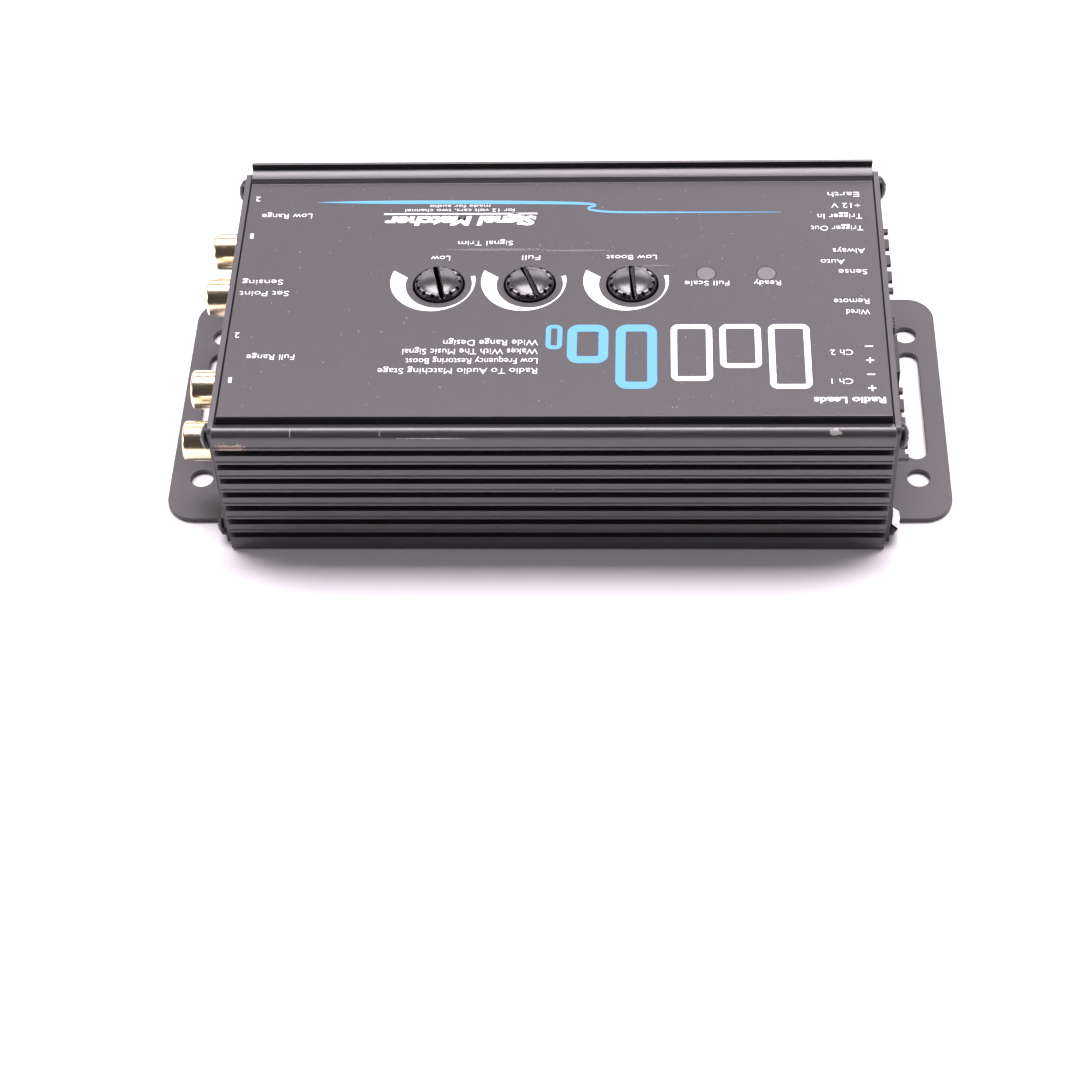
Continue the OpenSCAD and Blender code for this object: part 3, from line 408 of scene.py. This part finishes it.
# nylon from a polished mould: smooth, glossy and nearly black, so that the domes show the lights
knob_nylon, knob_shader = surface(
    "gloss_black_moulded_nylon",
    ("#1d1c1e", "#212022"),
    3.0,
    (0.2, 0.23),
    0.0005,
    Specular_IOR_Level=0.9,
)
dust_specks(knob_nylon, knob_shader, 2.2, 0.12, 0.3, "#a8a6a2")

# turned alloy: a pale grey metal with fine lines along the shaft. The real ones are too fine
# to show and are drawn at 0.12 mm.
turned_alloy, _ = surface(
    "turned_alloy", ("#a9a9a6", "#c4c4c0"), 0.12, (0.28, 0.4), 0.003, (1, 1, 0.1), Metallic=1.0
)
knobs = {"bass_level": "bass_knob", "main_level": "main_knob", "bass_boost": "boost_knob"}
for name, body in knobs.items():
    shown_for(name + "_knob", body, [knob_nylon], edge_mm=0.09)

# ---------------------------------------------------------------- indicator windows
# Two smoke acrylic light pipes are pressed up through the panel until they are flush, each
# over a coloured indicator lamp that is dark while the power is off.

# moulded smoke acrylic: a grey disc, paler than the panel because light enters it
smoke, _ = surface(
    "smoke_acrylic", ("#565458", "#646266"), 0.8, (0.34, 0.46), 0.004, Specular_IOR_Level=0.6
)
for window in ("power_window", "limit_window"):
    shown_for(window, "case", [smoke], edge_mm=0.08)

# ---------------------------------------------------------------- panel print
# The panel is screen printed in white and light blue: short plain words beside each socket,
# a wedge round each knob, a tapered line, and an emblem of plain level bars.

ink_t = 0.02
capital_share = 0.69
plain_weight = -0.012
letter_weld = 0.0002


class Print:
    """Gathers flat printed shapes, in millimetres on the panel, into one thin mesh"""

    def __init__(self):
        self.work = bmesh.new()

    def strip(self, left, right, closed=False):
        """A printed band between two rows of points, as a thin solid"""
        rows = [
            [self.work.verts.new((x, y, z)) for x, y in row]
            for z in (ink_t, -ink_t)
            for row in (left, right)
        ]
        last = len(left) - 1
        for i in range(last + closed):
            j = (i + 1) % len(left)
            for a, b in ((0, 1), (1, 3), (3, 2), (2, 0)):
                self.work.faces.new((rows[a][i], rows[a][j], rows[b][j], rows[b][i]))
        if not closed:
            for i in (0, last):
                self.work.faces.new((rows[0][i], rows[1][i], rows[3][i], rows[2][i]))

    def words(self, text, span, middle, height, weight=plain_weight, slant=0.0):
        """A line of plain capitals-high lettering, fitted between two places along X"""
        curve = bpy.data.curves.new("lettering", "FONT")
        curve.body = text
        curve.size = height / capital_share
        curve.offset = weight * height
        curve.shear = slant
        curve.resolution_u = 3
        curve.extrude = ink_t
        holder = bpy.data.objects.new("lettering", curve)
        mesh = bpy.data.meshes.new_from_object(holder)
        reach = [v.co.x for v in mesh.vertices]
        wide = (span[1] - span[0]) / (max(reach) - min(reach))
        start = (span[0] - min(reach) * wide, middle - height / 2, 0)
        mesh.transform(Matrix.Translation(start) @ Matrix.Diagonal((wide, 1, 1, 1)))
        part = bmesh.new()
        part.from_mesh(mesh)
        bmesh.ops.remove_doubles(part, verts=part.verts, dist=letter_weld)
        part.to_mesh(mesh)
        part.free()
        self.work.from_mesh(mesh)
        bpy.data.objects.remove(holder)
        bpy.data.meshes.remove(mesh)

    def made(self, name, material):
        """The finished mesh, lifted onto the panel"""
        work = self.work
        bmesh.ops.recalc_face_normals(work, faces=work.faces)
        mesh = bpy.data.meshes.new(name)
        work.to_mesh(mesh)
        work.free()
        mesh.transform(Matrix.Translation((0, 0, panel_z)) @ Matrix.Scale(MM, 4))
        mesh.materials.append(material)
        piece = bpy.data.objects.new(name, mesh)
        scene.collection.objects.link(piece)
        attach(piece, "case")
        return piece


def arc(centre, radius, start, end, steps=40):
    """Points along an arc, with angles in degrees"""
    turns = [math.radians(start + (end - start) * i / steps) for i in range(steps + 1)]
    return [(centre[0] + radius * math.cos(a), centre[1] + radius * math.sin(a)) for a in turns]


# screen inks: flat, dry and even. The mark of the screen is really about 0.1 mm and is drawn
# at 0.3 mm.
white_ink, _ = surface(
    "white_screen_ink", ("#f2f2f0", "#ffffff"), 0.3, (0.45, 0.6), 0.004
)
blue_ink, _ = surface(
    "light_blue_screen_ink", ("#488fbf", "#5599c8"), 0.3, (0.45, 0.6), 0.004
)

white = Print()
blue = Print()
label_h = 1.5
control_h = 1.4
large_h = 1.6
heading_h = 2.6

# words down both ends, read from the -Y side: text, span along X, middle along Y
for text, left, right, y in (
    ("Earth", -64.1, -57.4, -30.3),
    ("+12 V", -64.2, -58.0, -26.8),
    ("Trigger In", -64.4, -55.0, -23.4),
    ("Trigger Out", -64.4, -53.4, -19.7),
    ("Always", -64.4, -57.7, -12.7),
    ("Auto", -60.0, -55.0, -9.4),
    ("Sense", -64.5, -58.6, -6.35),
    ("Remote", -64.4, -57.2, 2.4),
    ("Wired", -64.4, -59.6, 5.5),
    ("Ch 2", -60.3, -55.8, 17.1),
    ("Ch 1", -59.9, -55.6, 25.2),
    ("2", 64.8, 65.8, -29.8),
    ("Low Range", 53.1, 63.9, -24.3),
    ("1", 65.1, 65.8, -18.1),
    ("Sensing", 57.4, 66.0, -3.9),
    ("Set Point", 55.9, 66.2, -0.5),
    ("2", 64.9, 65.9, 11.7),
    ("Full Range", 53.0, 62.8, 18.05),
    ("1", 65.1, 65.8, 24.5),
):
    white.words(text, (left, right), y, label_h)
white.words("Radio Leads", (-66.1, -51.9), 30.4, large_h, weight=0.035)

# minus and plus signs, each plus with two short strokes beside its long one
sign_x = (-64.4, -62.8)
stem_x = (-63.75, -63.45)
half_line = 0.15
for y, plus in ((15.4, False), (19.35, True), (23.3, False), (27.1, True)):
    white.strip([(x, y - half_line) for x in sign_x], [(x, y + half_line) for x in sign_x])
    if plus:
        for low, high in ((0.16, 0.8), (-0.8, -0.16)):
            white.strip(*([(x, y + low), (x, y + high)] for x in stem_x))

# a wedge round each knob, opening towards the +X side
knob_y = -3.0
knob_x = {}
for name in knobs:
    low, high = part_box(name + "_knob")
    knob_x[name] = (low.x + high.x) / 2 / MM
wedge_r = 8.9
wedge_shift = (1.3, -1.05)
ring_r = 6.95
for x in knob_x.values():
    white.strip(
        arc((x + wedge_shift[0], knob_y + wedge_shift[1]), wedge_r, -21, 190),
        arc((x, knob_y), ring_r, -17.6, 200),
    )
for text, left, right, y in (
    ("Low", 22.7, 26.7, -11),
    ("Full", 3.7, 7.5, -11),
    ("Low Boost", -20.8, -10.2, -11),
    ("Signal Trim", 9.6, 21.2, -15.55),
    ("Full Scale", -35.8, -26.6, -3.1),
    ("Ready", -46.5, -40.9, -3.1),
):
    white.words(text, (left, right), y, control_h)

# heading over its rule, and the plain lines of description
white.words("Signal Matcher", (4.9, 37.4), -22.55, heading_h, weight=0.07, slant=0.15)
white.strip([(4.7, -24.95), (37.6, -24.95)], [(4.7, -24.55), (37.6, -24.55)])
white.words("for 12 volt cars, two channel", (9.5, 33.1), -25.85, 0.95)
white.words("made for audio", (14.9, 27.9), -27.2, 0.85)
for text, right, y in (
    ("Radio To Audio Matching Stage", 35.7, 22.1),
    ("Low Frequency Restoring Boost", 30.2, 19.3),
    ("Wakes With The Music Signal", 31.0, 16.6),
    ("Wide Range Design", 22.8, 14.1),
):
    white.words(text, (3.4, right), y, large_h)


def bar_outline(target, x, y, width, height, line, round_r):
    """The printed outline of one level bar with round corners"""
    corners = ((1, 1, 0), (-1, 1, 90), (-1, -1, 180), (1, -1, 270))

    def ring(inset):
        points = []
        radius = max(round_r - inset, 0.2)
        for sx, sy, start in corners:
            centre = (
                x + sx * (width / 2 - inset - radius),
                y + height / 2 + sy * (height / 2 - inset - radius),
            )
            points += arc(centre, radius, start, start + 90, 8)
        return points

    target.strip(ring(0), ring(line), closed=True)


bar_pitch = 9.9
bar_w = 8.4
bar_foot = 9.0
for i, height in enumerate((18.2, 12.4, 16.0)):
    bar_outline(white, -47.6 + i * bar_pitch, bar_foot, bar_w, height, 1.25, 1.6)
for i, height in enumerate((18.2, 11.0)):
    bar_outline(blue, -16.6 + i * bar_pitch, bar_foot, bar_w, height, 2.0, 2.4)
bar_outline(blue, 0.2, bar_foot, 3.4, 7.0, 1.05, 1.3)

# the tapered blue line, with a small hook where it steps: place and half width
line_plan = (
    (52.2, -28.6, 0.04),
    (45, -28.6, 0.34),
    (36, -28.55, 0.52),
    (24, -28.48, 0.56),
    (12, -28.35, 0.54),
    (3, -28.15, 0.48),
    (-4, -27.9, 0.4),
    (-7, -27.6, 0.34),
    (-7.6, -27.15, 0.3),
    (-6.7, -26.75, 0.3),
    (-6.2, -26.3, 0.3),
    (-7.0, -25.75, 0.32),
    (-9.5, -25.3, 0.32),
    (-14, -25.0, 0.3),
    (-25, -24.9, 0.22),
    (-38, -24.85, 0.14),
    (-49.2, -24.8, 0.04),
)
# a smooth curve through the plan, in eight steps between places
steps_between = 8
curved = []
for i in range(len(line_plan) - 1):
    before = line_plan[max(i - 1, 0)]
    here, there = line_plan[i], line_plan[i + 1]
    after = line_plan[min(i + 2, len(line_plan) - 1)]
    for step in range(steps_between):
        t = step / steps_between
        weights = (
            (-t + 2 * t * t - t**3) / 2,
            (2 - 5 * t * t + 3 * t**3) / 2,
            (t + 4 * t * t - 3 * t**3) / 2,
            (t**3 - t * t) / 2,
        )
        corners = zip(before, here, there, after)
        curved.append([sum(w * c for w, c in zip(weights, four)) for four in corners])
edges = ([], [])
for (x, y, half), (next_x, next_y, _) in zip(curved, curved[1:]):
    length = math.hypot(next_x - x, next_y - y)
    side = (-(next_y - y) / length * half, (next_x - x) / length * half)
    edges[0].append((x + side[0], y + side[1]))
    edges[1].append((x - side[0], y - side[1]))
blue.strip(*edges)

white.made("printed_white", white_ink)
blue.made("printed_blue", blue_ink)

# ---------------------------------------------------------------- lint on the panel
# Pale grains of lint and dust have settled on the panel. One small grain is repeated over it
# by Geometry Nodes, each turned and stretched on its own.

# settled lint: dull pale fibre that catches no shine
lint_grey, _ = surface("settled_lint", ("#86837f", "#b3b0ab"), 0.2, (0.7, 0.9), 0.004)
lint_plan = bmesh.new()
clear_of_knobs = (
    (-65, 66, 5, 33),
    (-65, 66, -33, -10.5),
    (31, 66, -10, 5),
    (-65, -24, -10, 5),
)
for x0, x1, y0, y1 in clear_of_knobs:
    corners = [(x0, y0), (x1, y0), (x1, y1), (x0, y1)]
    lint_plan.faces.new([lint_plan.verts.new((x * MM, y * MM, panel_z)) for x, y in corners])
lint_mesh = bpy.data.meshes.new("panel_lint_plan")
lint_plan.to_mesh(lint_mesh)
lint_plan.free()
lint = bpy.data.objects.new("panel_lint", lint_mesh)
scene.collection.objects.link(lint)

scatter = bpy.data.node_groups.new("scatter_grains", "GeometryNodeTree")
scatter.interface.new_socket("Geometry", in_out="INPUT", socket_type="NodeSocketGeometry")
count = scatter.interface.new_socket(
    "Grains per square metre", in_out="INPUT", socket_type="NodeSocketFloat"
)
grain_r = scatter.interface.new_socket(
    "Grain radius", in_out="INPUT", socket_type="NodeSocketFloat"
)
scatter.interface.new_socket("Geometry", in_out="OUTPUT", socket_type="NodeSocketGeometry")
given = add(scatter, "NodeGroupInput")
spots = add(
    scatter,
    "GeometryNodeDistributePointsOnFaces",
    {"Mesh": given.outputs["Geometry"], "Density": given.outputs[count.name], "Seed": 11},
)
grain = add(
    scatter,
    "GeometryNodeMeshIcoSphere",
    {"Radius": given.outputs[grain_r.name], "Subdivisions": 1},
)
stretched = add(scatter, "FunctionNodeRandomValue", {"Seed": 4}, data_type="FLOAT_VECTOR")
stretched.inputs[0].default_value = (0.35, 0.3, 0.25)
stretched.inputs[1].default_value = (1.7, 1.0, 0.6)
turned = add(scatter, "FunctionNodeRandomValue", {"Seed": 9}, data_type="FLOAT_VECTOR")
turned.inputs[1].default_value = (0, 0, math.tau)
grains = add(
    scatter,
    "GeometryNodeInstanceOnPoints",
    {
        "Points": spots.outputs["Points"],
        "Instance": grain.outputs["Mesh"],
        "Rotation": turned.outputs[0],
        "Scale": stretched.outputs[0],
    },
)
real = add(scatter, "GeometryNodeRealizeInstances", {0: grains.outputs[0]})
dusty = add(scatter, "GeometryNodeSetMaterial", {0: real.outputs[0]})
dusty.inputs["Material"].default_value = lint_grey
add(scatter, "NodeGroupOutput", {0: dusty.outputs[0]})
modifier = lint.modifiers.new("scatter_grains", "NODES")
modifier.node_group = scatter
grains_per_m2 = 15000.0
lint_r = 0.13 * MM
modifier[count.identifier] = grains_per_m2
modifier[grain_r.identifier] = lint_r
graph = bpy.context.evaluated_depsgraph_get()
lint_made = bpy.data.meshes.new_from_object(lint.evaluated_get(graph))
lint.modifiers.clear()
lint.data = lint_made
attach(lint, "case")

# ---------------------------------------------------------------- torn seal
# A paper seal was stuck over the lower +Y screw of the input end and has torn, so a white
# crumpled scrap with a ragged edge still covers the screw's head.

# torn paper: matt white with soft creases, and dark flecks left from its print. Its fibres are
# really about 0.03 mm wide, and clumps of them are drawn at 0.5 mm.
torn_paper, torn_shader = surface(
    "torn_seal_paper", ("#e9e7e3", "#f8f6f2"), 0.5, (0.6, 0.8), 0.03
)
dust_specks(torn_paper, torn_shader, 1.1, 0.3, 0.3, "#3c393b")
screw_head_r = 2.65 * MM
low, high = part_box("input_plate_screws")
screw_place = (high.y - screw_head_r, low.z + screw_head_r)

# rings of paper over the head: how far each direction reaches before the tear, in mm, and how
# high the paper stands, from the head's crown down over its edge to the plate
ring_radii = (1.3, 2.3, 2.9, 3.4, 20)
ragged_reach = (2.6, 2.7, 3.4, 7.7, 5.4, 4.6, 4.2, 3.6, 3.9, 2.6, 2.2, 1.7, 2.1, 1.6, 2.0, 2.2)
crown_lift = 2.0
crown_curve = 0.04
head_edge = 2.5
edge_lift = 1.75
edge_slope = 1.9
plate_lift = 0.14
first_share = 0.72
share_per_ring = 0.07
crease_height = 0.1
seal = bmesh.new()
middle_vert = seal.verts.new((-crown_lift, 0, 0))
rows = []
for ring, radius in enumerate(ring_radii):
    row = []
    for i, reach in enumerate(ragged_reach):
        turn = math.tau * i / len(ragged_reach)
        here = min(radius, reach * (first_share + share_per_ring * ring))
        if here < head_edge:
            lift = crown_lift - crown_curve * here**2
        else:
            lift = max(plate_lift, edge_lift - edge_slope * (here - head_edge))
        crease = crease_height * math.sin(5.3 * i + 2.1 * ring) if lift > 0.4 else 0
        place = (-lift - crease, here * math.cos(turn), here * math.sin(turn))
        row.append(seal.verts.new(place))
    rows.append(row)
for i in range(len(ragged_reach)):
    j = (i + 1) % len(ragged_reach)
    seal.faces.new((middle_vert, rows[0][j], rows[0][i]))
    for inner, outer in zip(rows, rows[1:]):
        seal.faces.new((inner[i], inner[j], outer[j], outer[i]))
bmesh.ops.recalc_face_normals(seal, faces=seal.faces)
paper_t = 0.07
bmesh.ops.solidify(seal, geom=list(seal.faces), thickness=paper_t)
bmesh.ops.recalc_face_normals(seal, faces=seal.faces)
seal_mesh = bpy.data.meshes.new("torn_seal")
seal.to_mesh(seal_mesh)
seal.free()
plate_t = 1.2 * MM
plate_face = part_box("case_shell")[0].x - plate_t
seal_mesh.transform(
    Matrix.Translation((plate_face, screw_place[0], screw_place[1])) @ Matrix.Scale(MM, 4)
)
seal_mesh.materials.append(torn_paper)
torn_seal = bpy.data.objects.new("torn_seal", seal_mesh)
scene.collection.objects.link(torn_seal)
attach(torn_seal, "case")

# ---------------------------------------------------------------- phono sockets
# Each socket is a turned brass shell, polished and gold plated, round a white insulator and
# a split centre contact. Pairs sit in one black moulded block soldered to the board.

# gold over polished brass: a warm pale metal with long soft highlights. Polishing leaves lines
# too fine to show, so only a faint wave of 0.8 mm is drawn.
gold, _ = surface(
    "polished_gold_plate", ("#ecd9b2", "#f6e6c8"), 0.8, (0.17, 0.24), 0.0004, Metallic=1.0
)
for pair in ("main_rca_shells", "bass_rca_shells"):
    shown_for(pair, "case", [gold], edge_mm=0.08)
shown_for("rca_contacts", "case", [gold], edge_mm=0.06)
# moulded white plastic: an even, slightly warm white with a low shine
insulator, _ = surface(
    "white_moulded_insulator", ("#e4e2da", "#f1efe8"), 0.6, (0.4, 0.5), 0.004
)
shown_for("rca_insulators", "case", [insulator], edge_mm=0.08)
# moulded black nylon: a spark-eroded matt that stays dark. The real texture is about 0.05 mm
# and is drawn at 0.35 mm.
black_nylon, _ = surface(
    "black_moulded_nylon", ("#1a1a1c", "#232325"), 0.35, (0.42, 0.55), 0.01
)
for block in ("main_rca_housing", "bass_rca_housing"):
    shown_for(block, "case", [black_nylon])

# ---------------------------------------------------------------- terminals
# Plug-in terminal blocks in dark polyamide: the header is soldered to the board and its
# plug, with captive slotted screws over wire clamps, pulls straight out.

# moulded polyamide: a dark grey, a little paler than the nylon, with the same kind of matt
# from the mould, drawn at 0.4 mm so that it shows
polyamide, _ = surface(
    "dark_moulded_polyamide", ("#2c2c2e", "#383839"), 0.4, (0.4, 0.52), 0.012
)
# bright tin plate: a white metal with blurred reflections. Its real grain is too fine to show
# and is drawn at 0.3 mm.
tin, _ = surface(
    "bright_tin_plate", ("#aaabab", "#c8c9c9"), 0.3, (0.2, 0.34), 0.003, Metallic=1.0
)
for name in ("power", "speaker"):
    shown_for(name + "_header", "case", [black_nylon])
    shown_for(name + "_header_pins", "case", [tin], edge_mm=0.08)
    shown_for(name + "_plug", name + "_plug", [polyamide], edge_mm=0.1)
    shown_for(name + "_plug_screws", name + "_plug", [tin], edge_mm=0.05)
    shown_for(name + "_plug_clamps", name + "_plug", [tin], edge_mm=0.06)

# ---------------------------------------------------------------- switch and remote socket
# A slide switch with a pressed steel can and a ribbed nylon lever, and a four-contact
# modular socket whose mouth stands out through the end plate.

# plated and pressed steel: grey metal with a cloudy, handled shine
pressed_can, _ = surface(
    "pressed_plated_steel", ("#8f9091", "#a6a7a8"), 0.5, (0.3, 0.42), 0.003, Metallic=1.0
)
shown_for("turn_on_switch_body", "case", [pressed_can], edge_mm=0.1)
shown_for("turn_on_switch_lever", "turn_on_lever", [polyamide], edge_mm=0.08)
shown_for("remote_jack_body", "case", [black_nylon])
shown_for("remote_jack_contacts", "case", [gold], edge_mm=0.04)

# ---------------------------------------------------------------- threshold trimmer
# A small blue trimmer stands behind the output plate, and its white slotted rotor comes
# into a hole in the plate for a screwdriver.

# moulded blue thermoset: an even satin blue
trimmer_blue, _ = surface(
    "blue_moulded_trimmer", ("#20487f", "#2c5793"), 0.5, (0.4, 0.5), 0.006
)
shown_for("threshold_trimmer", "case", [trimmer_blue], edge_mm=0.1)
shown_for("threshold_rotor", "threshold_rotor", [insulator], edge_mm=0.06)

# ---------------------------------------------------------------- board and its parts
# A green glass laminate board slides into ledges in the case. It carries the controls,
# cans, film blocks, chips and the wound parts of the supply.


def refinished(nodes, finish):
    """Gives CAD nodes that stay as they are their own finish"""
    for node in nodes:
        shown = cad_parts[node]
        shown.data.materials.clear()
        shown.data.materials.append(finish)


# slot, nodes, and the surface: name, tones, grain, gloss, height and how metallic
for slot, nodes, name, tones, grain_mm, gloss, height_mm, metallic in (
    # cured solder mask: a deep glossy green, cloudy where copper lies under it
    ("board_laminate", ("circuit_board",),
     "green_solder_mask", ("#0e4a26", "#17603a"), 0.9, (0.3, 0.42), 0.01, 0.0),
    # moulded thermoset: a dull dark green
    ("pot_moulding", ("bass_level_pot", "main_level_pot", "bass_boost_pot"),
     "green_moulded_thermoset", ("#1c2f1c", "#263c26"), 0.5, (0.4, 0.5), 0.01, 0.0),
    # tinted cast epoxy: clear colour with a wet shine
    ("led_blue", ("power_led",),
     "blue_tinted_epoxy", ("#3d6fd6", "#4c7de0"), 0.8, (0.1, 0.2), 0.002, 0.0),
    ("led_red", ("limit_led",),
     "red_tinted_epoxy", ("#b5281e", "#c83529"), 0.8, (0.1, 0.2), 0.002, 0.0),
    # shrunk plastic sleeve: smooth dark blue, tight over the can
    ("can_sleeve", ("filter_capacitors",),
     "shrunk_can_sleeve", ("#121d3a", "#1b2848"), 0.6, (0.25, 0.35), 0.004, 0.0),
    # dipped epoxy: a thick, slightly wavy brick red
    ("film_case", ("film_capacitors",),
     "dipped_red_epoxy", ("#8c2018", "#a32a20"), 0.9, (0.25, 0.4), 0.02, 0.0),
    # moulded epoxy with filler: a dry, fine-grained black
    ("chip_epoxy", ("op_amps", "switch_transistors", "rectifier_diodes", "chip_components"),
     "moulded_black_epoxy", ("#151516", "#1f1f20"), 0.2, (0.5, 0.62), 0.006, 0.0),
    # sintered ferrite: a stony dark grey with hardly any shine
    ("ferrite", ("inductor_core", "transformer_core"),
     "sintered_ferrite", ("#2c2c2e", "#3a3a3c"), 0.15, (0.6, 0.75), 0.01, 0.0),
    # enamelled copper: orange metal under a thin clear coat
    ("copper_wire", ("inductor_winding",),
     "enamelled_copper_wire", ("#9c4a1c", "#b65c28"), 0.3, (0.2, 0.3), 0.002, 1.0),
    # polyester tape over the winding: smooth amber
    ("bobbin_tape", ("transformer_bobbin",),
     "amber_bobbin_tape", ("#b98a2c", "#cf9f3c"), 0.5, (0.3, 0.45), 0.01, 0.0),
    # fired enamel: a pale grey green, slightly uneven
    ("resistor_enamel", ("load_resistors",),
     "grey_green_enamel", ("#9fb0ab", "#b3c2bd"), 0.4, (0.35, 0.5), 0.01, 0.0),
):
    finish, _ = surface(name, tones, grain_mm, gloss, height_mm, Metallic=metallic)
    refinished(nodes, finish)
refinished(("op_amp_legs", "regulator_screw"), tin)
shafts = ("bass_level_shaft", "main_level_shaft", "bass_boost_shaft")
refinished(("regulator_tab",) + shafts, turned_alloy)
refinished(("regulator_body",), black_nylon)
